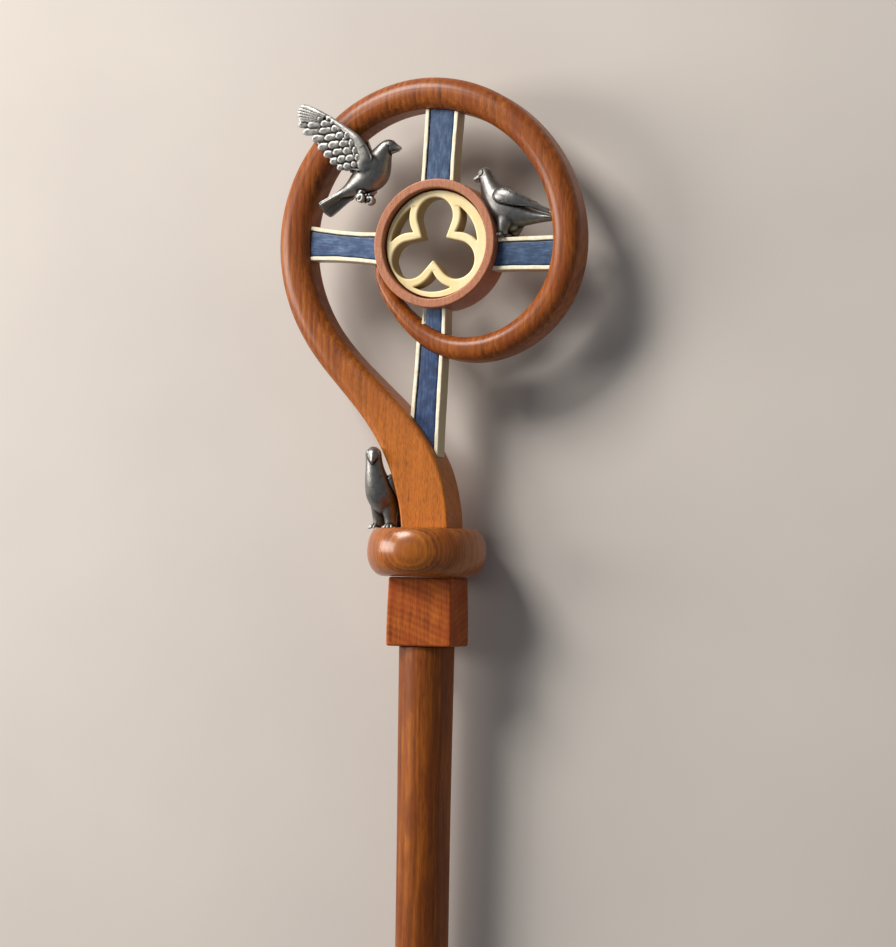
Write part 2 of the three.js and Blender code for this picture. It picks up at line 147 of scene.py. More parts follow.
def coords(me):
    co = np.empty(len(me.vertices) * 3, np.float32)
    me.vertices.foreach_get("co", co)
    return co.reshape(-1, 3).astype(float)


def set_coords(me, co):
    me.vertices.foreach_set("co", np.asarray(co, np.float32).ravel())
    me.update()


def edges_of(me):
    e = np.empty(len(me.edges) * 2, np.int32)
    me.edges.foreach_get("vertices", e)
    return e.reshape(-1, 2)


def normals_of(me):
    n = np.empty(len(me.vertices) * 3, np.float32)
    me.vertex_normals.foreach_get("vector", n)
    return n.reshape(-1, 3).astype(float)


def averaged(co, e, times, weight=0.5, mask=None):
    count = np.zeros(len(co))
    np.add.at(count, e[:, 0], 1)
    np.add.at(count, e[:, 1], 1)
    count = np.maximum(count, 1)[:, None]
    for _ in range(times):
        total = np.zeros_like(co)
        np.add.at(total, e[:, 0], co[e[:, 1]])
        np.add.at(total, e[:, 1], co[e[:, 0]])
        step = (total / count - co) * weight
        co = co + (step if mask is None else step * mask[:, None])
    return co


def point_value(me, name, values):
    a = me.attributes.new(name, "FLOAT", "POINT")
    a.data.foreach_set("value", np.asarray(values, np.float32))


# ---------------------------------------------------------------- materials
class Paint:
    """one node material; sockets and plain numbers can be mixed freely in its helpers"""

    def __init__(self, name):
        self.material = bpy.data.materials.new(name)
        self.material.use_nodes = True
        self.tree = self.material.node_tree
        self.tree.nodes.clear()
        self.out = self.tree.nodes.new("ShaderNodeOutputMaterial")
        self.shader = self.tree.nodes.new("ShaderNodeBsdfPrincipled")
        self.tree.links.new(self.shader.outputs[0], self.out.inputs[0])

    def put(self, socket, value):
        if isinstance(value, bpy.types.NodeSocket):
            self.tree.links.new(value, socket)
        elif value is not None:
            if hasattr(value, "__len__") and len(value) == 3 and socket.type == "RGBA":
                value = (*value, 1.0)
            socket.default_value = value

    def new(self, kind, inputs=(), **settings):
        n = self.tree.nodes.new(kind)
        for k, v in settings.items():
            setattr(n, k, v)
        for k, v in dict(inputs).items():
            self.put(n.inputs[k], v)
        return n

    def place(self):
        return self.scaled(self.new("ShaderNodeTexCoord").outputs["Object"], (1000, 1000, 1000))

    def scaled(self, vector, scale, shift=(0, 0, 0), turn=(0, 0, 0)):
        return self.new("ShaderNodeMapping", {"Vector": vector, "Scale": scale, "Location": shift, "Rotation": turn}).outputs[0]

    def math(self, op, a, b=None, c=None, clamp=False):
        n = self.new("ShaderNodeMath", operation=op, use_clamp=clamp)
        for k, v in enumerate((a, b, c)):
            self.put(n.inputs[k], v)
        return n.outputs[0]

    def add(self, a, b):
        return self.math("ADD", a, b)

    def mul(self, a, b):
        return self.math("MULTIPLY", a, b)

    def noise(self, vector, scale, detail=3.0, rough=0.55, distortion=0.0, kind="noise"):
        n = self.new("ShaderNodeTexNoise", {"Vector": vector, "Scale": scale, "Detail": detail, "Roughness": rough,
                                            "Distortion": distortion})
        return n.outputs["Fac"]

    def cells(self, vector, scale, feature="F1", out="Distance"):
        return self.new("ShaderNodeTexVoronoi", {"Vector": vector, "Scale": scale}, feature=feature).outputs[out]

    def split(self, vector):
        return self.new("ShaderNodeSeparateXYZ", {"Vector": vector}).outputs

    def join(self, x, y, z):
        return self.new("ShaderNodeCombineXYZ", {"X": x, "Y": y, "Z": z}).outputs[0]

    def span(self, value, a, b, c=0.0, d=1.0, smooth=False):
        return self.new("ShaderNodeMapRange", {"Value": value, "From Min": a, "From Max": b, "To Min": c, "To Max": d},
                        interpolation_type="SMOOTHSTEP" if smooth else "LINEAR", clamp=True).outputs[0]

    def mix(self, fac, a, b, blend="MIX"):
        n = self.new("ShaderNodeMix", data_type="RGBA", blend_type=blend)
        self.put(n.inputs[0], fac)
        self.put(n.inputs[6], a)
        self.put(n.inputs[7], b)
        return n.outputs[2]

    def ramp(self, fac, stops):
        n = self.new("ShaderNodeValToRGB", {"Fac": fac})
        r = n.color_ramp
        while len(r.elements) > 1:
            r.elements.remove(r.elements[-1])
        r.elements[0].position, r.elements[0].color = stops[0][0], (*stops[0][1], 1)
        for pos, col in stops[1:]:
            r.elements.new(pos).color = (*col, 1)
        return n.outputs[0]

    def attribute(self, name):
        return self.new("ShaderNodeAttribute", attribute_name=name).outputs["Fac"]

    def bump(self, height, distance, strength=1.0, normal=None):
        return self.new("ShaderNodeBump", {"Height": height, "Distance": distance, "Strength": strength, "Normal": normal}).outputs[0]

    def finish(self, color, roughness, normal=None, **fixed):
        s = self.shader.inputs
        self.put(s["Base Color"], color)
        self.put(s["Roughness"], roughness)
        if normal is not None:
            self.put(s["Normal"], normal)
        for k, v in fixed.items():
            self.put(s[k.replace("_", " ")], v)
        return self.material


def srgb(r, g, b):
    def one(v):
        v /= 255
        return v / 12.92 if v <= 0.04045 else ((v + 0.055) / 1.055) ** 2.4
    return (one(r), one(g), one(b))


def wood(name, dark, body, light, rings, spacing, warp, ring_gain=0.16, fibre_gain=1.0, pores=0.3, pore=(1.9, 0.16, 1.9), coat=0.3,
         rough=0.55, coat_rough=0.34, figure=None, seed=0.0, redden=None, pale=None, relief=0.00010):
    """varnished wood. rings(paint, x, y, z) gives the growth-ring coordinate in mm; the grain runs along y"""
    p = Paint(name)
    at = p.place()
    x, y, z = p.split(at)
    drift = p.noise(p.scaled(at, (0.013, 0.0042, 0.013), (seed, seed * 0.7, 3.1)), 1.0, 2.0, 0.5)
    q = p.add(rings(p, x, y, z), p.mul(p.math("SUBTRACT", drift, 0.5), warp))
    if figure is not None:
        q = p.add(q, figure(p, x, y, z))
    fibre = p.noise(p.scaled(at, (0.50, 0.020, 0.50), (seed, 0, 0)), 1.0, 4.0, 0.62)
    fine = p.noise(p.scaled(at, (1.9, 0.10, 1.9), (0, seed, 0)), 1.0, 3.0, 0.6)
    q = p.add(q, p.mul(fibre, spacing * 0.9))
    ring = p.math("POWER", p.span(p.math("SINE", p.mul(q, 2 * math.pi / spacing)), -1.0, 1.0), 1.5)
    wide = p.span(p.math("SINE", p.mul(q, 2 * math.pi / (spacing * 3.7))), -1, 1)
    tone = p.add(0.5, p.mul(p.math("SUBTRACT", ring, 0.45), ring_gain))
    tone = p.add(tone, p.mul(p.math("SUBTRACT", wide, 0.5), ring_gain * 0.8))
    tone = p.add(tone, p.mul(p.math("SUBTRACT", fibre, 0.5), fibre_gain))
    tone = p.add(tone, p.mul(p.math("SUBTRACT", fine, 0.5), 0.45))
    color = p.ramp(tone, [(0.14, dark), (0.48, body), (0.84, light)])
    if redden is not None:
        m = p.noise(p.scaled(at, (0.055, 0.024, 0.055), (4.0, seed, 1.0)), 1.0, 3.0, 0.6)
        color = p.mix(p.span(m, 0.44, 0.64, 0.0, 0.65), color, redden)
    if pale is not None:                         # the lower end is finished lighter
        color = p.mix(p.span(y, pale[1], pale[0], 0.0, pale[3], True), color, p.ramp(
            p.add(p.mul(p.noise(p.scaled(at, (1.3, 0.30, 1.3), (seed, 2.0, 0)), 1.0, 4.0, 0.62), 0.75), p.mul(tone, 0.25)),
            [(0.30, tuple(c * 0.60 for c in pale[2])), (0.5, pale[2]), (0.72, tuple(min(1, c * 1.3) for c in pale[2]))]))
    dash = p.noise(p.scaled(at, pore, (seed, 5.0, 1.0)), 1.0, 1.5, 0.5)
    dash = p.span(dash, 0.59, 0.69)
    color = p.mix(p.mul(dash, pores), color, tuple(c * 0.5 for c in dark))
    roughness = p.add(rough, p.mul(p.math("SUBTRACT", fibre, 0.5), 0.2))
    height = p.add(p.mul(fine, 0.6), p.mul(dash, -0.8))
    height = p.add(height, p.mul(ring, 0.2))
    normal = p.bump(height, relief, 0.5)
    return p.finish(color, roughness, normal, Coat_Weight=coat, Coat_Roughness=coat_rough, Specular_IOR_Level=0.2)


def bump_at(p, x, y, cx, cy, rx, ry, height):
    """a smooth hump in the ring coordinate, which closes the growth lines round it into an eye"""
    dx, dy = p.mul(p.math("SUBTRACT", x, cx), 1 / rx), p.mul(p.math("SUBTRACT", y, cy), 1 / ry)
    d = p.add(p.mul(dx, dx), p.mul(dy, dy))
    return p.mul(p.math("POWER", math.e, p.mul(d, -1.0)), height)


HEAD = KNOP_TOP

CROOK_WOOD = wood(
    "crook_wood", srgb(74, 30, 4), srgb(144, 74, 14), srgb(186, 108, 34),
    lambda p, x, y, z: p.add(p.mul(x, 1.0), p.mul(z, 0.30)), 4.4, 16.0, 0.12, 1.0, 0.40, seed=1.3,
    figure=lambda p, x, y, z: p.add(bump_at(p, x, y, 95.0, HEAD + 189.0, 6.0, 19.0, 10.0),
                                    bump_at(p, x, y, 20.0, HEAD + 70.0, 14.0, 40.0, -7.0)),
    redden=srgb(132, 60, 10), pale=(HEAD + 40, HEAD + 120, srgb(190, 108, 28), 0.85), coat=0.45, coat_rough=0.27)
STAFF_WOOD = wood(
    "staff_wood", srgb(70, 30, 4), srgb(140, 72, 10), srgb(182, 106, 28),
    lambda p, x, y, z: p.add(p.mul(x, 0.8), p.mul(z, 0.6)), 6.2, 15.0, 0.12, 0.9, 0.25, seed=6.1, redden=srgb(112, 50, 6), coat=0.25, coat_rough=0.36)
KNOP_WOOD = wood(
    "knop_wood", srgb(92, 40, 2), srgb(158, 84, 6), srgb(190, 114, 22),
    lambda p, x, y, z: p.add(p.mul(z, 1.0), p.mul(x, 0.09)), 1.55, 2.2, 0.20, 0.7, 0.25, seed=3.7, coat_rough=0.23, coat=0.9,
    redden=srgb(140, 66, 8))
BLOCK_WOOD = wood(
    "block_wood", srgb(96, 38, 4), srgb(162, 78, 16), srgb(196, 110, 36),
    lambda p, x, y, z: p.add(p.add(p.mul(y, 1.0), p.mul(x, 0.35)), p.mul(z, 0.2)), 4.2, 12.0, 0.13, 0.9, 0.25, seed=8.2,
    redden=srgb(150, 60, 12), coat=0.2, rough=0.6, coat_rough=0.36)


def hub_material():
    p = Paint("hub_wood")
    at = p.place()
    grain = p.noise(p.scaled(at, (0.8, 0.09, 0.8)), 1.0, 4.0, 0.6)
    speck = p.noise(at, 1.15, 2.0, 0.6)
    cloud = p.noise(at, 0.09, 2.0, 0.5)
    tone = p.add(p.mul(grain, 0.55), p.mul(speck, 0.45))
    color = p.ramp(tone, [(0.28, srgb(124, 68, 42)), (0.5, srgb(176, 112, 78)), (0.74, srgb(206, 146, 108))])
    color = p.mix(p.span(cloud, 0.4, 0.65, 0.0, 0.45), color, srgb(190, 118, 84))
    dot = p.span(p.cells(at, 0.55), 0.0, 0.18, 1.0, 0.0)
    pick = p.span(p.noise(at, 0.12, 1.0, 0.5), 0.56, 0.62)
    color = p.mix(p.mul(p.mul(dot, pick), 0.8), color, srgb(240, 214, 180))
    normal = p.bump(p.add(grain, speck), 0.00012, 0.45)
    return p.finish(color, p.add(0.44, p.mul(speck, 0.18)), normal, Coat_Weight=0.25, Coat_Roughness=0.3)


def cream_material():
    p = Paint("cream_paint")
    at = p.place()
    wash = p.noise(at, 0.055, 3.0, 0.55)
    brush = p.noise(p.scaled(at, (0.35, 0.09, 0.35), turn=(0, 0, 0.5)), 1.0, 4.0, 0.6)
    color = p.ramp(p.add(p.mul(wash, 0.65), p.mul(brush, 0.35)),
                   [(0.30, srgb(238, 214, 150)), (0.52, srgb(248, 230, 178)), (0.75, srgb(252, 243, 212))])
    # painted shade: the walls of the piercings are darkened toward olive-tan, as they fall in shade
    side = p.attribute("wall_shade")
    color = p.mix(p.mul(side, 0.88), color, srgb(146, 116, 62))
    x, y, z = p.split(at)
    dx, dy = p.add(x, -HUB["x"]), p.add(y, -HEAD - HUB["y"])
    far = p.math("SQRT", p.add(p.mul(dx, dx), p.mul(dy, dy)))
    # painted shade: a dark brown band round the disc's rim stands for the shade of the gap and the ring's shadow, and
    # partly for the brown of the ring's rebate
    color = p.mix(p.span(p.add(far, p.mul(p.noise(at, 0.25, 2.0, 0.5), 0.6)), 33.0, 33.3), color, srgb(84, 40, 14))
    normal = p.bump(p.add(brush, p.mul(wash, 2.0)), 0.00018, 0.4)
    return p.finish(color, p.add(0.46, p.mul(brush, 0.14)), normal, Coat_Weight=0.12, Coat_Roughness=0.35)


def arm_material(name, blue, pale, deep):
    p = Paint(name)
    at = p.place()
    across, along = p.attribute("across"), p.attribute("along")
    lane = p.join(p.mul(along, 0.11), p.mul(p.attribute("side"), 0.95), 0.0)
    brush = p.noise(lane, 1.0, 5.0, 0.68, 0.35)
    patch = p.noise(p.join(p.mul(along, 0.16), p.mul(p.attribute("side"), 0.22), 4.0), 1.0, 3.0, 0.6)
    tone = p.add(p.mul(brush, 0.6), p.mul(patch, 0.5))
    field = p.ramp(tone, [(0.34, deep), (0.53, blue), (0.74, pale)])
    cream = p.ramp(p.noise(at, 0.35, 3.0, 0.6), [(0.3, srgb(240, 228, 188)), (0.6, srgb(252, 247, 226))])
    # painted shade: the cream sides and back of the arm are darkened, as they fall in shade
    shade = p.attribute("wall_shade")
    cream = p.mix(p.mul(shade, 0.8), cream, srgb(186, 164, 122))
    wander = p.mul(p.math("SUBTRACT", p.noise(at, 0.4, 2.0, 0.5), 0.5), 0.5)
    edge = p.add(across, wander)
    # painted shade: a dark line along the groove between the cream strip and the blue panel
    color = p.mix(p.span(edge, 2.5, 2.75), cream, srgb(24, 30, 46))
    color = p.mix(p.span(edge, 3.0, 3.5), color, field)
    normal = p.bump(p.add(p.mul(brush, 1.0), p.mul(patch, 0.4)), 0.00022, 0.5)
    return p.finish(color, p.add(0.42, p.mul(brush, 0.2)), normal, Coat_Weight=0.15, Coat_Roughness=0.3)


def pewter_material():
    p = Paint("pewter")
    at = p.place()
    relief = p.attribute("relief")
    fine = p.noise(at, 1.7, 4.0, 0.62)
    cloud = p.noise(at, 0.32, 3.0, 0.6)
    wear = p.add(relief, p.mul(p.math("SUBTRACT", fine, 0.5), 0.30))
    color = p.ramp(wear, [(0.16, srgb(20, 19, 18)), (0.40, srgb(72, 71, 69)), (0.54, srgb(138, 138, 136)), (0.95, srgb(180, 180, 178))])
    color = p.mix(p.span(cloud, 0.45, 0.72, 0.0, 0.45), color, srgb(84, 82, 78))
    dull = p.span(relief, 0.15, 0.6, 0.60, 0.32)
    dull = p.add(dull, p.span(relief, 0.6, 0.9, 0.0, 0.16))
    normal = p.bump(p.add(fine, p.mul(cloud, 0.8)), 0.00016, 0.55)
    return p.finish(color, p.add(dull, p.mul(fine, 0.10)), normal, Metallic=0.94)


HUB_WOOD, CREAM, PEWTER = hub_material(), cream_material(), pewter_material()
BLUE = arm_material("arm_paint", srgb(50, 80, 124), srgb(106, 134, 170), srgb(22, 42, 78))
MID_BLUE = arm_material("arm_paint_middle", srgb(34, 66, 106), srgb(84, 114, 150), srgb(14, 34, 68))
DEEP_BLUE = arm_material("arm_paint_lower", srgb(18, 52, 98), srgb(64, 98, 146), srgb(8, 26, 60))

# ---------------------------------------------------------------- staff, block and knop
STAFF_R = eased([[0, FOOT_R], [STAFF_LENGTH - 110, 16.3], [STAFF_LENGTH, 17.0]], STAFF_LENGTH, 12)


def staff_mesh():
    m = 96
    ys = np.concatenate([3 * (1 - np.cos(np.linspace(0, math.pi / 2, 8))), np.linspace(6, STAFF_LENGTH - 2, 300),
                         STAFF_LENGTH - 0.4 + 0.4 * np.sin(np.linspace(0, math.pi / 2, 5))])
    a = np.arange(m) / m * 2 * math.pi
    r = STAFF_R(ys)
    r = np.where(ys < 3, FOOT_R - 3 + np.sqrt(np.maximum(0, 9 - (3 - ys) ** 2)), r)
    top = np.clip((ys - (STAFF_LENGTH - 0.4)) / 0.4, 0, 1)
    r = r - 0.4 * (1 - np.sqrt(1 - top ** 2))
    r = r[:, None] + 0.10 * waves(ys[:, None] / 31 + a, ys[:, None] / 74 + 2 * a, 3 * a + ys[:, None] / 52)
    x = r * np.cos(a) + 0.22 * np.sin(ys / 60)[:, None]
    z = r * np.sin(a)
    y = np.repeat(ys[:, None], m, 1)
    z = np.maximum(z, floor_at(y))
    v = np.stack([x, y, z], -1).reshape(-1, 3)
    return mesh_of("staff", v, tube(len(ys), m) + [list(range(m)), list(range(len(v) - m, len(v)))])


def block_mesh():
    turn, round_edge, lip = math.radians(5.5), 1.15, 1.3
    corner = np.linspace(0, math.pi / 2, 7)
    flat = [0.04, 0.15, 0.35, 0.5, 0.65, 0.85, 0.96]
    stops = np.concatenate([lip * (1 - np.cos(np.linspace(0, math.pi / 2, 6))), np.linspace(1.6, BLOCK_HEIGHT - 1.6, 26),
                            BLOCK_HEIGHT - lip * (1 - np.cos(np.linspace(math.pi / 2, 0, 6)))])
    rows = []
    for h in stops:
        t = h / BLOCK_HEIGHT
        e = min(h, BLOCK_HEIGHT - h)
        inset = lip - math.sqrt(max(0, lip * lip - (lip - min(e, lip)) ** 2))
        w, d = (40.0 + 1.6 * t) / 2 - inset, (36.5 + 2.1 * t) / 2 - inset
        ring = []
        for k in range(4):
            sx, sz = [(1, 1), (-1, 1), (-1, -1), (1, -1)][k]
            c = corner + k * math.pi / 2
            # the lower right corner is worn rounder than the rest
            rr = round_edge + 0.5 * smooth01(t * 4 - 3)
            arc = [(sx * (w - rr) + rr * math.cos(q), sz * (d - rr) + rr * math.sin(q)) for q in c]
            ring += arc
            nx = [(-1, 1), (-1, -1), (1, -1), (1, 1)][k]
            c2 = (k + 1) * math.pi / 2
            nxt = (nx[0] * (w - rr) + rr * math.cos(c2), nx[1] * (d - rr) + rr * math.sin(c2))
            ring += [(arc[-1][0] + (nxt[0] - arc[-1][0]) * f, arc[-1][1] + (nxt[1] - arc[-1][1]) * f) for f in flat]
        ring = np.array(ring)
        bow = 1 + 0.004 * np.sin(h / 7.0 + np.arctan2(ring[:, 1], ring[:, 0]) * 2)
        ring *= bow[:, None]
        x = ring[:, 0] * math.cos(turn) + ring[:, 1] * math.sin(turn)
        z = -ring[:, 0] * math.sin(turn) + ring[:, 1] * math.cos(turn)
        rows.append(np.stack([x, np.full(len(x), STAFF_LENGTH + GAP + BLOCK_HEIGHT - h), z], -1))
    m = len(rows[0])
    v = np.concatenate(rows)
    return mesh_of("block", v, tube(len(rows), m) + [list(range(m)), list(range(len(v) - m, len(v)))])


def knop_mesh():
    half, m = KNOP_HEIGHT / 2, 168
    prof = [(r, -half) for r in (4, 12, 20, 25.2)]
    for q in np.linspace(-math.pi / 2, math.pi / 2, 41):
        face = 26.2 if q < 0 else 30.6
        prof.append((face + (KNOP_R - face) * math.cos(q), half * math.sin(q)))
    prof += [(r, half) for r in (29.6, 22, 12, 4)]
    prof = np.array(prof)
    a = np.arange(m) / m * 2 * math.pi
    r = prof[:, :1] + 0.05 * waves(prof[:, 1:] / 4 + a * 3, a * 2 + prof[:, 1:] / 9)
    x, z = KNOP_X + r * np.cos(a), r * np.sin(a)
    y = KNOP_MIDDLE + prof[:, 1:] + 0 * a
    z = np.maximum(z, floor_at(y))
    v = np.stack([x, y, z], -1).reshape(-1, 3)
    return mesh_of("knop", v, tube(len(prof), m) + [list(range(m)), list(range(len(v) - m, len(v)))])


def knop_top_at(x, z):
    """height of the knop's upper side, from its top"""
    r = np.hypot(np.asarray(x, float) - KNOP_X, z)
    c = np.clip((r - 30.6) / (KNOP_R - 30.6), 0, 1)
    return KNOP_HEIGHT / 2 * (np.sqrt(1 - c * c) - 1)


piece("Staff", staff_mesh(), STAFF_WOOD, "staff", 40)
piece("Block", block_mesh(), BLOCK_WOOD, "block", 40)
piece("Knop", knop_mesh(), KNOP_WOOD, "knop", 40)

# ---------------------------------------------------------------- the crook
CROOK_LENGTH = 685.0
BEND = [[0, 0.00558], [4, 0.00822], [39, 0.01068], [74, 0.0053], [109, -0.0011], [144, -0.0083], [184, -0.01009],
        [234, -0.01085], [294, -0.01159], [354, -0.01128], [414, -0.01046], [474, -0.0102], [524, -0.01629],
        [574, -0.01559], [612, -0.01973], [640, -0.00984], [662, -0.01107], [685, -0.0269]]
HALF_WIDTH = eased([[0, 15.6], [31, 15.6], [45, 14.7], [59, 13.5], [73, 12.4], [88, 11.3], [102, 10.7], [117, 10.3],
                    [175, 10.2], [231, 9.85], [345, 9.8], [403, 9.3], [432, 8.85], [487, 8.95], [541, 8.6], [568, 8.1],
                    [596, 7.5], [625, 6.35], [650, 4.95], [660, 4.5], [668, 3.8], [676, 3.2], [682, 2.5], [685, 1.6]], CROOK_LENGTH, 4)
HALF_DEPTH = eased([[0, 13], [500, 13], [541, 12.6], [568, 12], [596, 11], [625, 9.5], [650, 8], [668, 6.5], [680, 4.8],
                    [685, 3.2]], CROOK_LENGTH, 4)
CORNER_W = eased([[0, 0.1], [30, 0.1], [59, 0.25], [88, 0.55], [117, 0.8], [146, 0.95], [685, 0.95]], CROOK_LENGTH, 5)
CORNER_D = eased([[0, 1.5], [31, 1.5], [59, 2.5], [88, 4.5], [117, 6], [146, 7], [560, 7], [620, 6.2], [660, 5], [685, 3.0]],
                 CROOK_LENGTH, 5)


def crook_path():
    step = 0.5
    s = np.arange(0, CROOK_LENGTH, step)
    k = table(BEND, s + step / 2)
    h0 = math.radians(93.54)
    h = h0 + np.concatenate([[0], np.cumsum(k * step)])
    mid = h[:-1] + k * step / 2
    x = 1.83 + np.concatenate([[0], np.cumsum(np.cos(mid) * step)])
    y = GAP + np.concatenate([[0], np.cumsum(np.sin(mid) * step)])
    return np.arange(len(x)) * step, x, y, h


PATH_S, PATH_X, PATH_Y, PATH_H = crook_path()


def crook_mesh():
    n, per = 880, 16
    s = np.concatenate([[0, 0.1, 0.25, 0.45], np.linspace(0.8, CROOK_LENGTH - 0.6, n), CROOK_LENGTH - 0.6 + 0.6 * np.array([0.45, 0.75, 0.92, 1])])
    x, y, h = (np.interp(s, PATH_S, v) for v in (PATH_X, PATH_Y, PATH_H))
    normal = h + math.pi / 2 - math.radians(3.54) * (1 - smooth01(s / 40))
    w, t = HALF_WIDTH(s), HALF_DEPTH(s)
    rx, ry = w * CORNER_W(s), np.minimum(CORNER_D(s), t * 0.95)
    flat = np.array([0.05, 0.25, 0.5, 0.75, 0.95])
    arc = np.linspace(0, math.pi / 2, 11)
    us, zs = [], []
    for k, (sx, sz) in enumerate([(1, 1), (-1, 1), (-1, -1), (1, -1)]):
        for q in arc + k * math.pi / 2:
            us.append(sx * (w - rx) + rx * math.cos(q))
            zs.append(sz * (t - ry) + ry * math.sin(q))
        nx, nz = [(-1, 1), (-1, -1), (1, -1), (1, 1)][k]
        q = (k + 1) * math.pi / 2
        u1, z1 = us[-1], zs[-1]
        u2, z2 = nx * (w - rx) + rx * math.cos(q), nz * (t - ry) + ry * math.sin(q)
        for f in flat:
            us.append(u1 + (u2 - u1) * f)
            zs.append(z1 + (z2 - z1) * f)
    u, z = np.stack(us, 1), np.stack(zs, 1)
    m = u.shape[1]
    # hand-shaped: a slow unevenness along the bar, and the ends softened
    a = np.arange(m) / m * 2 * math.pi
    carve = 1 + 0.010 * waves(s[:, None] / 17 + a, s[:, None] / 41 + 2 * a) * smooth01((s[:, None] - 60) / 60) * (1 - smooth01((s[:, None] - 560) / 60))
    edge = np.clip(1 - s / 0.45, 0, 1)
    last = np.clip((s - CROOK_LENGTH + 0.6) / 0.6, 0, 1)
    shrink = 1 - 0.03 * (1 - np.sqrt(1 - edge ** 2)) - 0.6 * (1 - np.sqrt(1 - last ** 2))
    u, z = u * carve * shrink[:, None], z * carve * shrink[:, None]
    px, py = x[:, None] + u * np.cos(normal)[:, None], y[:, None] + u * np.sin(normal)[:, None]
    py[0] = GAP
    v = np.stack([px, py + HEAD, z], -1).reshape(-1, 3)
    return mesh_of("crook", v, tube(len(s), m) + [list(range(m)), list(range(len(v) - m, len(v)))])


def crook_clear(x, y, z, y_from=0.0):
    """signed distance in the crook's plane from its surface at that height, negative inside, with the way out"""
    best = np.full(len(x), 1e9)
    pick = np.zeros(len(x), int)
    step = 2
    for i in range(0, len(PATH_S), step):
        d = (x - PATH_X[i]) ** 2 + (y - PATH_Y[i]) ** 2
        closer = d < best
        best[closer] = d[closer]
        pick[closer] = i
    d = np.sqrt(best)
    s = PATH_S[pick]
    w, t = HALF_WIDTH(s), HALF_DEPTH(s)
    rx, ry = w * CORNER_W(s), np.minimum(CORNER_D(s), t * 0.95)
    over = np.clip((np.abs(z) - (t - ry)) / ry, 0, 1)
    reach = w - rx + rx * np.sqrt(1 - over ** 2)
    reach = np.where(np.abs(z) > t, -50.0, reach)
    ux, uy = (x - PATH_X[pick]) / np.maximum(d, 1e-6), (y - PATH_Y[pick]) / np.maximum(d, 1e-6)
    return d - reach, ux, uy


piece("Crook", crook_mesh(), CROOK_WOOD, "crook", 50)


# ---------------------------------------------------------------- boss ring and tracery
def ring_mesh():
    o, b, h, r, m = HUB["outer"], HUB["bore"], HUB["depth"] / 2, 0.9, 168
    prof = []
    for (cx, cz), start in (((o - r, h - r), 0), ((b + r, h - r), 90), ((b + r, -h + r), 180), ((o - r, -h + r), 270)):
        prof += [(cx + r * math.cos(math.radians(q)), cz + r * math.sin(math.radians(q))) for q in np.linspace(start, start + 90, 7)]
        if start == 0:
            prof += [(o - r - 0.4, h), ((o + b) / 2, h), (b + r + 0.4, h)]
        if start == 90:
            prof += [(b, h - r - 0.4), (b, 4), (b, -4), (b, -h + r + 0.4)]
        if start == 180:
            prof += [(b + r + 0.4, -h), ((o + b) / 2, -h), (o - r - 0.4, -h)]
        if start == 270:
            prof += [(o, -h + r + 0.4), (o, -4), (o, 4), (o, h - r - 0.4)]
    prof = np.array(prof)
    a = np.arange(m) / m * 2 * math.pi
    r = prof[None, :, 0] + 0.09 * waves(a[:, None] * 3, a[:, None] * 5 + prof[None, :, 1] / 6)
    z = prof[None, :, 1] + 0.07 * waves(a[:, None] * 4, a[:, None] * 2) * np.sign(prof[None, :, 1])
    v = np.stack([HUB["x"] + r * np.cos(a)[:, None], HEAD + HUB["y"] + r * np.sin(a)[:, None], z + 0 * r], -1)
    n, k = v.shape[:2]
    i, j = np.arange(n)[:, None], np.arange(k)[None, :]
    f = np.stack([i * k + j, i * k + (j + 1) % k, ((i + 1) % n) * k + (j + 1) % k, ((i + 1) % n) * k + j], -1)
    return mesh_of("hub_ring", v.reshape(-1, 3), f.reshape(-1, 4).tolist())


piece("Hub ring", ring_mesh(), HUB_WOOD, "hub_ring", 50)

DISC = dict(r=33.9, front=8.0, thickness=12.0)
TREFOIL = dict(x=-1.9, y=-0.7, turn=-1.5, reach=18.0, lobe=11.7, cusp=9.0)
PIERCING = dict(rim=28.6, bar=5.5)


def trefoil_outline(steps=56):
    reach, lobe, cusp = TREFOIL["reach"], TREFOIL["lobe"], TREFOIL["cusp"]
    chord = math.hypot(reach - cusp * 0.5, cusp * math.sin(math.pi / 3))
    to_cusp = math.atan2(cusp * math.sin(math.pi / 3), cusp * 0.5 - reach)
    opening = to_cusp - math.acos(lobe / chord)
    pts = []
    for k in range(3):
        axis = math.pi / 2 + math.radians(TREFOIL["turn"]) + k * 2 * math.pi / 3
        tip = axis - math.pi / 3
        pts.append((cusp * math.cos(tip), cusp * math.sin(tip)))
        for j in range(steps + 1):
            b = axis + opening * (2 * j / steps - 1)
            pts.append((reach * math.cos(axis) + lobe * math.cos(b), reach * math.sin(axis) + lobe * math.sin(b)))
    return [(TREFOIL["x"] + x, TREFOIL["y"] + y) for x, y in pts]


def piercing_outline(k, steps=18):
    reach, lobe, rim = TREFOIL["reach"], TREFOIL["lobe"], PIERCING["rim"]
    R = lobe + PIERCING["bar"]
    axis = math.pi / 2 + math.radians(TREFOIL["turn"]) + math.pi / 3 + k * 2 * math.pi / 3
    inner = (reach + math.sqrt(reach * reach - 4 * (reach * reach - R * R))) / 2
    spread = math.pi / 3 - math.acos((rim * rim + reach * reach - R * R) / (2 * rim * reach))

    def at(r, a):
        return np.array([r * math.cos(a), r * math.sin(a)])

    def side(sign):
        c, p, q = at(reach, axis + sign * math.pi / 3), at(inner, axis), at(rim, axis + sign * spread)
        a = math.atan2(*(p - c)[::-1])
        d = math.atan2(*(q - c)[::-1]) - a
        d = math.atan2(math.sin(d), math.cos(d))
        return [c + R * np.array([math.cos(a + d * j / steps), math.sin(a + d * j / steps)]) for j in range(steps + 1)]
    pts = side(1) + [at(rim, axis + spread * (1 - 2 * j / steps)) for j in range(1, steps)] + side(-1)[::-1][:-1]
    return [(TREFOIL["x"] + p[0], TREFOIL["y"] + p[1]) for p in pts]


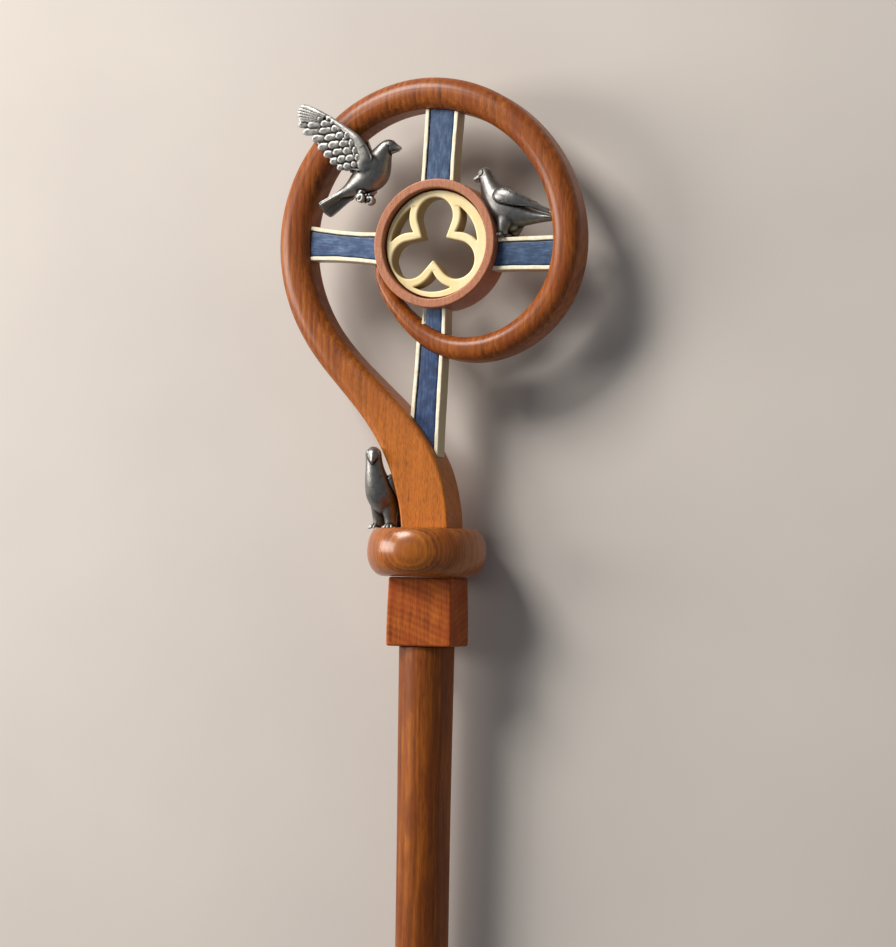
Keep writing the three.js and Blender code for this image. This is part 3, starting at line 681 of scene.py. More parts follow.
def rounded_outline(pts, keep, times):
    """the outline evenly spaced, with its corners eased a little"""
    p = np.array(pts + [pts[0]])
    d = np.concatenate([[0], np.cumsum(np.hypot(*np.diff(p, axis=0).T))])
    n = int(d[-1] / keep)
    t = np.arange(n) / n * d[-1]
    q = np.stack([np.interp(t, d, p[:, 0]), np.interp(t, d, p[:, 1])], 1)
    for _ in range(times):
        q = 0.5 * q + 0.25 * (np.roll(q, 1, 0) + np.roll(q, -1, 0))
    return q


def tracery_mesh():
    bevel = 1.3
    curve = bpy.data.curves.new("tracery", "CURVE")
    curve.dimensions, curve.fill_mode = "2D", "BOTH"
    a = np.arange(150) / 150 * 2 * math.pi
    rings = [np.stack([DISC["r"] * np.cos(a), DISC["r"] * np.sin(a)], 1), rounded_outline(trefoil_outline(), 0.45, 5)]
    rings += [rounded_outline(piercing_outline(k), 0.4, 3) for k in range(3)]
    for q in rings:
        sp = curve.splines.new("POLY")
        sp.points.add(len(q) - 1)
        sp.points.foreach_set("co", np.concatenate([q, np.zeros((len(q), 1)), np.ones((len(q), 1))], 1).ravel())
        sp.use_cyclic_u = True
    curve.extrude = DISC["thickness"] / 2 - bevel
    curve.bevel_depth, curve.bevel_resolution, curve.offset = bevel, 4, -bevel
    ob = bpy.data.objects.new("tracery", curve)
    bpy.context.scene.collection.objects.link(ob)
    bpy.context.view_layer.update()
    me = bpy.data.meshes.new_from_object(ob.evaluated_get(bpy.context.evaluated_depsgraph_get()))
    bpy.data.objects.remove(ob)
    bm = bmesh.new()
    bm.from_mesh(me)
    bmesh.ops.remove_doubles(bm, verts=bm.verts, dist=0.002)
    bmesh.ops.recalc_face_normals(bm, faces=bm.faces)
    for sign in (1, -1):
        cap = [f for f in bm.faces if f.normal.z * sign > 0.9999 and f.calc_center_median().z * sign > DISC["thickness"] / 2 - 0.01]
        bmesh.ops.inset_region(bm, faces=cap, thickness=0.22, use_even_offset=True, use_boundary=True)
    bmesh.ops.triangulate(bm, faces=[f for f in bm.faces if len(f.verts) > 4])
    bm.to_mesh(me)
    bm.free()
    co = coords(me)
    # the front is carved by hand: it dips and swells a little
    front = smooth01((co[:, 2] - 3) / 3)
    co[:, 2] += front * 0.16 * waves(co[:, 0] / 5.5 + co[:, 1] / 9, co[:, 1] / 6.0)
    co += np.array([HUB["x"], HEAD + HUB["y"], DISC["front"] - DISC["thickness"] / 2])
    set_coords(me, co)
    # painted shade on the walls of the piercings, where the surface turns away from the front
    point_value(me, "wall_shade", np.clip(1 - np.abs(normals_of(me)[:, 2]) * 1.6, 0, 1) * (np.hypot(co[:, 0] - HUB["x"], co[:, 1] - HEAD - HUB["y"]) < DISC["r"] - 0.6))
    return me


piece("Tracery", tracery_mesh(), CREAM, "tracery", 50)

# ---------------------------------------------------------------- the painted arms
ARMS = {
    "arm_top": ([3.3, 212], [5.75, 258], [21.8, 21.5, 22.0]),
    "arm_left": ([-34, 173.6], [-83, 178.5], [20.2, 18.9, 22.0]),
    "arm_right": ([40, 167.7], [83, 167.3], [19.9, 20.3, 20.9]),
    "arm_lower_inner": ([2.4, 137.5], [2.3, 114], [16.9, 16.7, 16.6]),
    "arm_lower_outer": ([0.7, 114], [-3.0, 46], [18.2, 19.0, 20.4]),
}


def arm_profile(w):
    """half the section, from the middle of the back round to the middle of the panel: (distance from the edge, z,
    painted shade on the sides and back)
    """
    back, front, floor, strip = -5.0, 6.5, 5.6, 2.6
    rows = [(w, back, 0.55), (w * 0.5, back, 0.55), (1.0, back, 0.6)]
    rows += [(0.7 - 0.7 * math.sin(q), back + 0.7 - 0.7 * math.cos(q), 0.8) for q in np.linspace(0, math.pi / 2, 5)]
    rows += [(0.0, back + 1.0, 1.0), (0.0, 0.75, 1.0), (0.0, front - 1.0, 1.0)]
    rows += [(0.6 - 0.6 * math.cos(q), front - 0.6 + 0.6 * math.sin(q), 0.8 * math.cos(q)) for q in np.linspace(0, math.pi / 2, 6)]
    rows += [(0.8, front, 0.0), (1.3, front + 0.04, 0.0), (1.9, front, 0.0)]
    rows += [(strip - 0.5 + 0.5 * math.sin(q), front - 0.5 + 0.5 * math.cos(q), 0.0) for q in np.linspace(0.15, math.pi / 2, 5)]
    rows += [(strip + 0.03, floor - 0.1, 0.6), (strip + 0.08, floor - 0.40, 0.8), (strip + 0.35, floor - 0.42, 0.0), (strip + 0.8, floor - 0.08, 0.0),
             (strip + 1.4, floor, 0.0), (w * 0.6, floor + 0.05, 0.0), (w * 0.8, floor + 0.06, 0.0)]
    return rows


def blocked(x, y, z):
    d, _, _ = crook_clear(x, y, z)
    return (d < GAP) | (np.hypot(x - HUB["x"], y - HUB["y"]) < HUB["outer"] + GAP)


def arm_mesh(name):
    (ax, ay), (bx, by), (w0, wm, w1) = ARMS[name]
    length = math.hypot(bx - ax, by - ay)
    ux, uy = (bx - ax) / length, (by - ay) / length

    def width(v):
        return (w0 * (1 - v) * (1 - 2 * v) + 4 * wm * v * (1 - v) + w1 * v * (2 * v - 1)) / 2
    half = arm_profile(min(w0, wm, w1) / 2)
    wref = min(w0, wm, w1) / 2
    ring = [(-1, *r) for r in half] + [(0, wref, half[-1][1], 0.0)] + [(1, *r) for r in half[::-1]]
    ring = ring[:-1]                                    # the middle of the back is shared
    sign = np.array([r[0] for r in ring], float)
    dist, z, wall_shade = (np.array([r[k] for r in ring], float) for k in (1, 2, 3))
    sign[dist >= wref - 1e-6] = 0
    # how far each line of the section runs before it meets the ring or the crook
    reach = []
    for way in (-1, 1):
        t = np.arange(0, length * 0.75, 0.1)
        v = np.clip(0.5 + way * t / length, -0.2, 1.2)
        p = sign[:, None] * (width(np.clip(v, 0, 1))[None, :] - dist[:, None])
        x = ax + ux * length * v[None, :] - uy * p
        y = ay + uy * length * v[None, :] + ux * p
        hit = blocked(x.ravel(), y.ravel(), np.repeat(z, len(t))).reshape(x.shape)
        first = np.where(hit.any(1), hit.argmax(1), len(t) - 1)
        reach.append(0.5 + way * np.maximum(0, t[first] - 0.1) / length)
    n = 72
    f = np.linspace(0, 1, n)
    v = reach[0][None, :] + (reach[1] - reach[0])[None, :] * f[:, None]
    s = v * length
    d = dist[None, :] + 0.12 * waves(s / 5.1 + sign[None, :] * 2, s / 2.3) * ((dist > 1.9) & (dist < 3.5))[None, :]
    d = d + 0.10 * waves(s / 7.3 + sign[None, :]) * (dist < 0.9)[None, :]
    p = sign[None, :] * (width(np.clip(v, 0, 1)) - d)
    zz = z[None, :] + 0.07 * waves(s / 4.2 + p / 3, s / 1.9 + p) * (z > 5)[None, :]
    x = ax + ux * s - uy * p
    y = ay + uy * s + ux * p
    verts = np.stack([x, y + HEAD, zz + 0 * x], -1).reshape(-1, 3)
    m = len(ring)
    me = mesh_of(name, verts, tube(n, m) + [list(range(m)), list(range(len(verts) - m, len(verts)))])
    shown = np.where(z > 5.0, np.where(dist < 0.05, 0, dist), 0.0)
    point_value(me, "across", np.repeat(shown[None, :], n, 0).ravel())
    # painted shade on the sides and back, carried to the material
    point_value(me, "wall_shade", np.repeat(wall_shade[None, :], n, 0).ravel())
    point_value(me, "along", s.ravel() + 37.0 * len(name))
    point_value(me, "side", p.ravel())
    return me


for arm in ARMS:
    piece(arm.replace("_", " ").capitalize(), arm_mesh(arm), {"arm_lower_outer": DEEP_BLUE, "arm_left": BLUE}.get(arm, MID_BLUE), arm, 40)


# ---------------------------------------------------------------- the doves
class Clay:
    """closed shells gathered to be fused into one casting"""

    def __init__(self):
        self.v, self.f, self.n = [], [], 0

    def shell(self, verts, faces):
        self.v.append(np.asarray(verts, float))
        self.f += [[i + self.n for i in face] for face in faces]
        self.n += len(verts)

    def loft(self, rows, stations=60, around=28, side=(0, 0, 1), power=2.0):
        """oval sections strung along a smooth line; rows are [x, y, z, half-height, half-width]"""
        r = np.asarray(rows, float)
        k = np.arange(len(r))
        t = np.linspace(0, len(r) - 1, stations)
        c = catmull(r, t)
        c[:, 3:] = np.maximum(c[:, 3:], 0.15)
        p = c[:, :3]
        d = np.gradient(p, axis=0)
        d /= np.linalg.norm(d, axis=1)[:, None]
        sd = np.asarray(side, float)[None, :]
        up = np.cross(sd, d)
        up /= np.linalg.norm(up, axis=1)[:, None]
        sd = np.cross(d, up)
        a = np.arange(around) / around * 2 * math.pi
        ca, sa = np.cos(a), np.sin(a)
        e = 2.0 / power
        ca, sa = np.sign(ca) * np.abs(ca) ** e, np.sign(sa) * np.abs(sa) ** e
        v = p[:, None] + up[:, None] * (c[:, 3][:, None] * ca)[..., None] + sd[:, None] * (c[:, 4][:, None] * sa)[..., None]
        v = v.reshape(-1, 3)
        self.shell(v, tube(stations, around) + [list(range(around))[::-1], list(range(len(v) - around, len(v)))])

    def ball(self, centre, radii, turn=0.0, n=18, m=24):
        q = np.linspace(0.06, math.pi - 0.06, n)[:, None]
        a = (np.arange(m) / m * 2 * math.pi)[None, :]
        v = np.stack([np.cos(q) + 0 * a, np.sin(q) * np.cos(a), np.sin(q) * np.sin(a)], -1) * np.asarray(radii, float)
        c, s = math.cos(turn), math.sin(turn)
        v = np.stack([v[..., 0] * c - v[..., 1] * s, v[..., 0] * s + v[..., 1] * c, v[..., 2]], -1).reshape(-1, 3) + np.asarray(centre, float)
        self.shell(v, tube(n, m) + [list(range(m))[::-1], list(range(len(v) - m, len(v)))])

    def torus(self, centre, radius, thick, normal=(0, 0, 1), n=28, m=10):
        w = Vector(normal).normalized()
        u = w.orthogonal().normalized()
        v = w.cross(u)
        a, b = (np.arange(n) / n * 2 * math.pi)[:, None], (np.arange(m) / m * 2 * math.pi)[None, :]
        r = radius + thick * np.cos(b)
        out = (r * np.cos(a))[..., None] * np.array(u) + (r * np.sin(a))[..., None] * np.array(v) + (thick * np.sin(b) + 0 * a)[..., None] * np.array(w)
        i, j = np.arange(n)[:, None], np.arange(m)[None, :]
        f = np.stack([i * m + j, ((i + 1) % n) * m + j, ((i + 1) % n) * m + (j + 1) % m, i * m + (j + 1) % m], -1)
        self.shell((out + np.asarray(centre, float)).reshape(-1, 3), f.reshape(-1, 4).tolist())

    def feather(self, root, tip, width, thick, out=(0, 0, 1), lift=0.8, blunt=0.42, bow=0.0, groove=0.0, dish=0.0, n=22, m=20, narrow=0.55):
        """a tongue from root to tip, rounded at the tip, that rises by lift toward its tip"""
        root, tip = np.asarray(root, float), np.asarray(tip, float)
        d = tip - root
        length = np.linalg.norm(d)
        d /= length
        o = np.asarray(out, float)
        o = o - d * (o @ d)
        o /= np.linalg.norm(o)
        w = np.cross(o, d)
        t = (1 - np.cos(np.linspace(0.12, math.pi - 0.05, n))) / 2
        b = min(0.9, blunt)
        rounded = np.where(t > 1 - b, np.sqrt(np.maximum(0, 1 - ((t - 1 + b) / b) ** 2)), 1.0)
        hw = width / 2 * (narrow + (1 - narrow) * smooth01(t / (1 - b * 0.6))) * np.maximum(rounded, 0.06)
        hh = thick / 2 * (0.75 + 0.25 * t) * np.maximum(0.25, np.sqrt(np.maximum(0, 1 - np.maximum(0, (t - 0.8) / 0.2) ** 2)))
        c = root + d * (t * length)[:, None] + o * (lift * t ** 1.2)[:, None] + w * (bow * np.sin(math.pi * t))[:, None]
        a = np.arange(m) / m * 2 * math.pi
        ca, sa = np.cos(a), np.sin(a)
        crown = hh[:, None] * (np.where(sa > 0, sa, sa * 0.7) - groove * np.exp(-(ca / 0.16) ** 2) * (sa > 0)
                               - dish * (sa > 0) * np.exp(-(ca / 0.42) ** 2) * np.exp(-((t[:, None] - 0.70) / 0.16) ** 2))
        v = c[:, None] + w * (hw[:, None] * ca)[..., None] + o * crown[..., None]
        v = v.reshape(-1, 3)
        self.shell(v, tube(n, m) + [list(range(m))[::-1], list(range(len(v) - m, len(v)))])

    def plate(self, outline, z0, z1):
        q = np.asarray(outline, float)
        m = len(q)
        v = np.concatenate([np.column_stack([q, np.full(m, z0)]), np.column_stack([q, np.full(m, z1)])])
        self.shell(v, tube(2, m) + [list(range(m))[::-1], list(range(m, 2 * m))])

    def mesh(self, name):
        return mesh_of(name, np.concatenate(self.v), self.f, outward=False)


def catmull(rows, t):
    """a smooth line through the rows, read at t in row numbers"""
    r = np.asarray(rows, float)
    n = len(r)
    i = np.clip(np.floor(t).astype(int), 0, n - 2)
    f = (t - i)[:, None]
    p0, p1, p2, p3 = r[np.maximum(i - 1, 0)], r[i], r[i + 1], r[np.minimum(i + 2, n - 1)]
    return 0.5 * (2 * p1 + (p2 - p0) * f + (2 * p0 - 5 * p1 + 4 * p2 - p3) * f ** 2 + (3 * p1 - p0 - 3 * p2 + p3) * f ** 3)


def fused(clay, voxel, rounds=1, weight=0.5):
    """the shells become one skin"""
    me = clay.mesh("clay")
    bm = bmesh.new()
    bm.from_mesh(me)
    bmesh.ops.recalc_face_normals(bm, faces=bm.faces)
    bm.to_mesh(me)
    bm.free()

    def setup(ob):
        mod = ob.modifiers.new("fuse", "REMESH")
        mod.mode, mod.voxel_size, mod.adaptivity = "VOXEL", voxel, 0.0
    out = evaluated(me, setup)
    if rounds:
        set_coords(out, averaged(coords(out), edges_of(out), rounds, weight))
    return out


def absorb(clay, me):
    """adds a mesh to the clay as a shell"""
    co = coords(me)
    clay.shell(co, [list(p.vertices) for p in me.polygons])


def relief_of(me, times=14):
    """near 1 on what stands proud, near 0 in the hollows, about 0.5 on the plain surface"""
    co, e, n = coords(me), edges_of(me), normals_of(me)
    out = 0.0
    for k, gain in ((times, 1.9), (4, 3.0)):
        low = averaged(co, e, k, 0.6)
        out = out + ((co - low) * n).sum(1) * gain
    out = averaged(out[:, None], e, 1, 0.5)[:, 0]
    return np.clip(0.5 + out, 0, 1)


def cast(name, me, node, pushed=True, turn=None):
    """keeps the casting clear of the crook and the boss, and lays it in place"""
    if turn is not None:
        me.transform(turn)
    co = coords(me)
    if pushed:
        for _ in range(2):
            d, ux, uy = crook_clear(co[:, 0], co[:, 1], co[:, 2])
            near = d < GAP
            co[near, 0] += (ux * (GAP - d))[near]
            co[near, 1] += (uy * (GAP - d))[near]
            hx, hy = co[:, 0] - HUB["x"], co[:, 1] - HUB["y"]
            r = np.hypot(hx, hy)
            near = (r < HUB["outer"] + GAP) & (np.abs(co[:, 2]) < HUB["depth"] / 2)
            k = (HUB["outer"] + GAP) / np.maximum(r, 1e-6)
            co[near, 0] = (HUB["x"] + hx * k)[near]
            co[near, 1] = (HUB["y"] + hy * k)[near]
    set_coords(me, co)
    point_value(me, "relief", relief_of(me))
    me.transform(Matrix.Translation((0, HEAD, 0)))
    print("cast", name, len(me.polygons) * 2, "triangles")
    return piece(name, me, PEWTER, node)


# --- a spread wing, laid out once and used for both sides. Outline and feathers are in the plane of the wing.
LEADING = [(-87.0, 263.6), (-85.1, 264.8), (-78.5, 263.1), (-67.7, 257.6), (-58.2, 251.7), (-51, 247), (-45.7, 242.9), (-41.5, 237.3), (-38.8, 232.6), (-37.4, 228.0)]
TRAILING = [(-44.5, 221.5), (-50.5, 222.3), (-54.5, 221.6), (-58.3, 223.4), (-60.3, 225.6), (-63.8, 226.6), (-65.3, 229.4), (-68.2, 231.8), (-69.3, 235.0),
            (-72.8, 237.9), (-75.6, 241.3), (-78.0, 244.6), (-81.6, 247.4), (-85.3, 250.8), (-87.2, 254.6), (-88.3, 259.6)]
PRIMARIES = [((-68.5, 256.9), (-86.6, 264.2)), ((-69.5, 256.2), (-88.3, 262.6)), ((-70.3, 255.4), (-89.0, 260.7)),
             ((-70.8, 254.6), (-89.1, 258.6)), ((-71.2, 253.8), (-88.6, 256.6)), ((-71.4, 253.1), (-87.7, 254.8))]
BANDS = [([(-67.2, 251.9), (-77.0, 251.6), (-84.4, 252.0)], 4.4), ([(-60.6, 248.6), (-68.6, 247.6), (-79.6, 247.4)], 4.7),
         ([(-52.4, 243.6), (-58.4, 243.9), (-65.4, 243.0), (-74.2, 242.9)], 4.9), ([(-49.1, 238.8), (-55.6, 238.7), (-63.0, 238.2), (-70.4, 237.4)], 4.9),
         ([(-46.6, 233.9), (-53.1, 234.0), (-60.1, 233.7), (-66.6, 232.7)], 4.9), ([(-44.6, 229.5), (-51.2, 229.3), (-57.2, 229.0), (-62.6, 228.0)], 4.7),
         ([(-47.6, 225.6), (-53.3, 224.7), (-58.0, 223.9)], 4.3)]
SMALL = [(-72.2, 255.2), (-66.4, 255.0), (-63.4, 252.5), (-58.6, 248.0), (-54.2, 246.6), (-55.0, 241.2), (-50.0, 236.3), (-47.4, 231.6)]


def spread_wing(clay, base, face, move=lambda p: p):
    """base: height of the wing's back; face: +1 if the feathers face +z, -1 if they face -z"""
    def at(x, y, h):
        x, y = move(np.array([x, y], float))
        return (x, y, base + face * h)
    out = (0, 0, face)
    q = np.array([move(np.array(p, float)) for p in LEADING[1:] + TRAILING])
    closed = np.concatenate([q[-1:], q, q[:2]])
    q = catmull(closed, np.linspace(1, len(q) + 1, 180)[:-1])
    clay.plate(q, *sorted((base, base + face * 1.7)))
    # long flight feathers at the tip, each lying a little over the one below it
    for k, (a, b) in enumerate(PRIMARIES):
        clay.feather(at(*a, 1.65 + 0.1 * (5 - k)), at(*b, 1.35), 2.05, 1.7, out, lift=0.15, blunt=0.14, groove=0.2, narrow=0.7, n=34)
    # bands of short rounded feathers: in each band the inner ones lie over the outer ones
    for r, (lobes, width) in enumerate(BANDS):
        lobes = [np.array(v, float) for v in lobes]
        for j, c in enumerate(lobes):
            d = (lobes[min(j + 1, len(lobes) - 1)] - lobes[max(j - 1, 0)])
            gap = np.linalg.norm(d) / (1 if j in (0, len(lobes) - 1) else 2)
            d /= np.linalg.norm(d)
            wob = 0.25 * math.sin(3.1 * r + 2.3 * j)
            high = 1.35 + 0.26 * (len(lobes) - 1 - j) + 0.12 * (r % 2)
            clay.feather(at(*(c - d * gap * (0.85 if j else 0.35)), high - 0.25), at(*(c + d * (gap * 0.44 + 0.5)), high - 0.1), width + wob + 0.3, 1.7, out,
                         lift=0.40, blunt=0.36, dish=0.20, narrow=0.95, n=26, m=24)
    for k, c in enumerate(SMALL):
        clay.feather(at(c[0] + 1.5, c[1] + 0.1, 1.9), at(c[0] - 1.9, c[1] - 0.1, 2.0), 3.0, 1.3, out, lift=0.25, blunt=0.46, dish=0.15, narrow=0.9, n=18, m=20)
    # the bright rim along the leading edge
    rows = []
    for (x, y), (nx, ny), a in zip(LEADING[1:8], ((-0.3, -0.9), (-0.4, -0.9), (-0.5, -0.86), (-0.52, -0.85), (-0.6, -0.8), (-0.75, -0.66), (-0.85, -0.5)),
                                   (0.8, 0.95, 1.4, 2.0, 2.7, 3.3, 3.7)):
        X, Y = move(np.array([x + nx * a, y + ny * a]))
        rows.append([X, Y, base + face * 1.3, a, min(0.7 + a * 0.3, 1.75)])
    clay.loft(rows, 60, 20)


def wing_arm(soft, base, face, root, move=lambda p: p):
    """the smooth arm of a wing, from its tip to inside the shoulder"""
    p = np.array(LEADING[1:], float)
    d = np.gradient(p, axis=0)
    d /= np.linalg.norm(d, axis=1)[:, None]
    inward = np.column_stack([d[:, 1], -d[:, 0]])
    r = np.array([0.8, 1.0, 1.5, 2.2, 3.0, 3.7, 4.2, 4.8, 5.6])
    c = p + inward * r[:, None]
    rows = []
    for (x, y), a in zip(c, r):
        X, Y = move(np.array([x, y]))
        rows.append([X, Y, base + face * 1.2, a, min(0.5 + a * 0.36, 1.9)])
    rows += root
    soft.loft(rows, 80, 24)


def face(c, centre, look, r, length, thick=2.4, eye=(0.45, 0.30), eye_r=1.15, drop=0.7):
    """beak and ringed eyes of a head of radius r looking along look"""
    o, d = np.array(centre, float), np.array(look, float)
    d /= np.linalg.norm(d)
    side = np.cross(d, (0, 1, 0))
    side /= np.linalg.norm(side)
    up = np.cross(side, d)

    def at(f, h=0.0):
        return list(o + d * f + up * h)
    c.loft([at(r * 0.45, 0.1) + [thick * 1.45, thick * 1.4], at(r * 0.85, 0.0) + [thick * 1.02, thick * 0.98], at(r + length * 0.3, -0.15) + [thick * 0.70, thick * 0.66],
            at(r + length * 0.72, -0.4 * drop) + [thick * 0.46, thick * 0.42], at(r + length, -drop) + [0.45, 0.45]], 34, 20, side=side)
    c.loft([at(r * 0.55, -thick * 0.85) + [thick * 0.7, thick * 0.8], at(r + length * 0.2, -thick * 0.72) + [thick * 0.34, thick * 0.46],
            at(r + length * 0.72, -thick * 0.62) + [0.45, 0.5]], 18, 14, side=side)
    for s in (1, -1):
        n = side * s * 0.86 + d * eye[0] + up * eye[1]
        n /= np.linalg.norm(n)
        c.torus(o + n * (r * 0.97), eye_r, 0.34, tuple(n))
        c.ball(o + n * (r * 0.95), (0.7, 0.7, 0.7))


def foot(c, x, y, z, ahead, spread, size=1.0, lift=1.2, hooked=0.0):
    """three toes ahead and one behind, on a floor at y"""
    a = np.array([ahead[0], 0, ahead[1]], float)
    a /= np.linalg.norm(a)
    w = np.array([-a[2], 0, a[0]])
    o = np.array([x, y + lift, z])
    for g in (-1, 0, 1):
        d = a * math.cos(g * spread) + w * math.sin(g * spread)
        n = np.array([-d[2], 0, d[0]])
        pts = [(0.0, 0.3, 1.55, 1.5), (1.8, 0.25, 1.25, 1.15), (3.6, 0.0, 1.2, 1.05), (5.0, -0.35 - hooked * 0.6, 0.95, 0.8), (5.9, -0.9 - hooked * 1.6, 0.4, 0.4)]
        c.loft([list(o + d * f * size + np.array([0, h, 0])) + [p * size, q * size] for f, h, p, q in pts], 24, 14, side=n)
    c.loft([list(o - a * f * size + np.array([0, h, 0])) + [p * size, p * size] for f, h, p in ((0, 0.2, 1.4), (2.0, -0.1, 1.0), (3.2, -0.6, 0.5))], 14, 12, side=w)


def flying_dove():
    soft = Clay()
    soft.loft([[-66, 206.3, 4, 2.4, 5.4], [-60.5, 209.2, 4, 3.3, 5.4], [-55.5, 211.8, 4, 5.0, 6.0], [-50.5, 214.8, 4, 7.6, 7.8], [-45.5, 217.9, 4, 9.9, 9.7], [-41, 221.8, 4, 10.9, 10.4],
               [-37.9, 227.0, 4, 9.5, 9.3], [-35.2, 232.0, 4, 7.0, 7.0], [-32.8, 235.8, 4, 5.3, 5.4], [-30.4, 237.5, 4, 4.7, 4.7], [-28.2, 237.4, 4, 3.9, 3.9], [-26.6, 237.1, 4, 2.6, 2.7]], 110, 40)
    wing_arm(soft, 13.6, 1, [[-40.5, 224.5, 12.0, 6.4, 3.6], [-41.0, 220.5, 8.0, 6.0, 4.5]])
    # the far shoulder
    soft.loft([[-46, 223, 1, 6.0, 6.0], [-49, 223.5, -6, 5.6, 5.8], [-52.0, 224.0, -12, 4.6, 5.0], [-54.0, 225.5, -15.0, 3.8, 4.0]], 26, 28)
    body = fused(soft, 0.6, 12, 0.5)
    c = Clay()
    absorb(c, body)
    face(c, (-30.2, 237.5, 4), (0.985, -0.17, 0.0), 4.5, 4.2, 2.9, eye=(0.26, 0.40), eye_r=1.2, drop=0.5)
    # tail: a fan of long feathers, tipped so that its underside shows
    base, tip = np.array([-55.0, 210.4, 4.5]), np.array([-74.2, 198.2, 6.2])
    along = (tip - base) / np.linalg.norm(tip - base)
    across = np.array([-0.36, 0.56, 0.74])
    across -= along * (across @ along)
    across /= np.linalg.norm(across)
    up = np.cross(along, across)
    if up[1] < 0:
        up = -up
    for k in range(9):
        g = (k - 4) / 4
        r = base + across * g * 3.2 + up * (0.1 - 0.5 * abs(g))
        e = tip + across * g * 5.3 - along * (1.2 * g * g) + up * (0.2 - 0.9 * g * g)
        c.feather(r, e, 3.3, 2.0, up, lift=0.2, blunt=0.12, groove=0.3, narrow=0.75, n=34)
        c.feather(r - up * 0.9, r + (e - r) * 0.97 - up * 0.9, 2.1, 1.5, -up, lift=0.0, blunt=0.12, groove=0.3, narrow=0.75, n=34)
    for k in range(5):
        g = (k - 2) / 2
        r = base + across * g * 3.0 - along * 2.0 + up * (1.0 - 0.8 * abs(g))
        c.feather(r, r + (tip - base) * (0.42 - 0.12 * abs(g)) + across * g * 1.0 - up * 0.5, 3.6, 1.5, up, lift=-0.2, blunt=0.4, groove=0.0, narrow=0.7)
    # clenched feet
    for (x, y, z), k in (((-47.9, 206.2, 8.4), 1.0), ((-43.4, 204.9, 4.6), 1.12)):
        c.loft([[x + 2.4, y + 6.0, z - 1.6, 3.2, 3.0], [x + 1.3, y + 3.2, z - 0.6, 2.3, 2.3], [x + 0.2, y + 1.0, z, 2.0, 2.1]], 18, 18)
        c.ball((x + 0.5, y - 0.1, z), (2.8 * k, 2.7 * k, 2.9))
        for g in (-1, 0, 1):
            c.loft([[x + 0.4, y + 1.2, z + g * 1.3, 1.2, 1.0], [x + 2.6 * k, y + 0.3, z + g * 1.7, 1.2, 0.95], [x + 2.7 * k, y - 1.8, z + g * 1.7, 1.15, 0.9],
                    [x + 0.9, y - 2.9, z + g * 1.4, 1.05, 0.85], [x - 0.9, y - 2.2, z + g * 1.2, 0.6, 0.6]], 24, 14)
        c.loft([[x - 0.2, y + 1.4, z, 1.3, 1.2], [x - 2.0 * k, y + 0.2, z, 1.1, 1.0], [x - 1.8 * k, y - 1.7, z, 0.9, 0.8], [x - 0.7, y - 2.2, z, 0.5, 0.5]], 16, 12)
    spread_wing(c, 13.6, 1)
    # the far wing is raised behind the crook
    root = np.array([-46.0, 228.0])
    ang = math.radians(-37)
    rot = np.array([[math.cos(ang), -math.sin(ang)], [math.sin(ang), math.cos(ang)]])
    spread_wing(c, -13.6, -1, lambda p: root + np.array([-9.5, -3.0]) + rot @ (p - root) * 0.70)
    me = fused(c, 0.36, 1, 0.35)
    return cast("Flying dove", me, "dove_flying")


def folded_wings(c, z0, wing, wing_out, tail, fine=0.8):
    """folded wings along the back, and the tail feathers under them"""
    line = np.array(wing, float)                        # [x, y, half-height, half-width] from shoulder to tip
    t = np.linspace(0, len(line) - 1, 60)
    w = catmull(line, t)
    o = catmull(np.array(wing_out, float)[:, None], t)[:, 0]
    d = np.gradient(w[:, :2], axis=0)
    d /= np.linalg.norm(d, axis=1)[:, None]
    up = np.column_stack([-d[:, 1], d[:, 0]])
    if up[:, 1].mean() < 0:
        up = -up
    for s in (1, -1):
        c.loft(np.column_stack([w[:, 0], w[:, 1], z0 + s * o, w[:, 2], w[:, 3]]), 60, 26)

        def on(f, v, lift=0.0):
            i = min(len(w) - 1, max(0, int(f * (len(w) - 1))))
            bulge = math.sqrt(max(0.0, 1 - min(1, abs(v)) ** 2))
            p = w[i, :2] + up[i] * w[i, 2] * v
            return (p[0], p[1], z0 + s * (o[i] + w[i, 3] * bulge + lift))
        for k in range(6):
            v = 0.80 - 0.32 * k
            f0, f1 = 0.34 + 0.03 * k, 0.99 - 0.075 * k
            c.feather(on(f0, v * 0.9, -0.5), on(f1, v * 0.66, -0.3), 2.3, 1.0, (0, 0, s), lift=0.1, blunt=0.14, groove=0.3, narrow=0.7, n=30)
        # rows of small feathers over the shoulder
        for row in range(7):
            f = 0.56 - 0.07 * row
            count = 6 if row < 5 else 5
            for k in range(count):
                v = 0.84 - 1.64 * (k + 0.5 * (row % 2)) / count
                c.feather(on(f - 0.06 + 0.05 * abs(v), v * 0.95, -0.50), on(f + 0.08 + 0.05 * abs(v), v * 0.92, -0.34), 2.3, fine, (0.0, 0.25 * v, s),
                          lift=0.14, blunt=0.46, dish=0.25, narrow=0.8, n=16, m=16)
    (bx, by), (tx, ty), spread0, spread1, up_dir = tail
    for k in range(7):
        g = (k - 3) / 3
        c.feather((bx, by, z0 + g * spread0), (tx - (tx - bx) * 0.05 * g * g, ty - 0.35 * abs(g), z0 + g * spread1), 2.6, 1.4, (up_dir[0], up_dir[1], 0), lift=0.1,
                  blunt=0.12, groove=0.3, narrow=0.7, n=26)


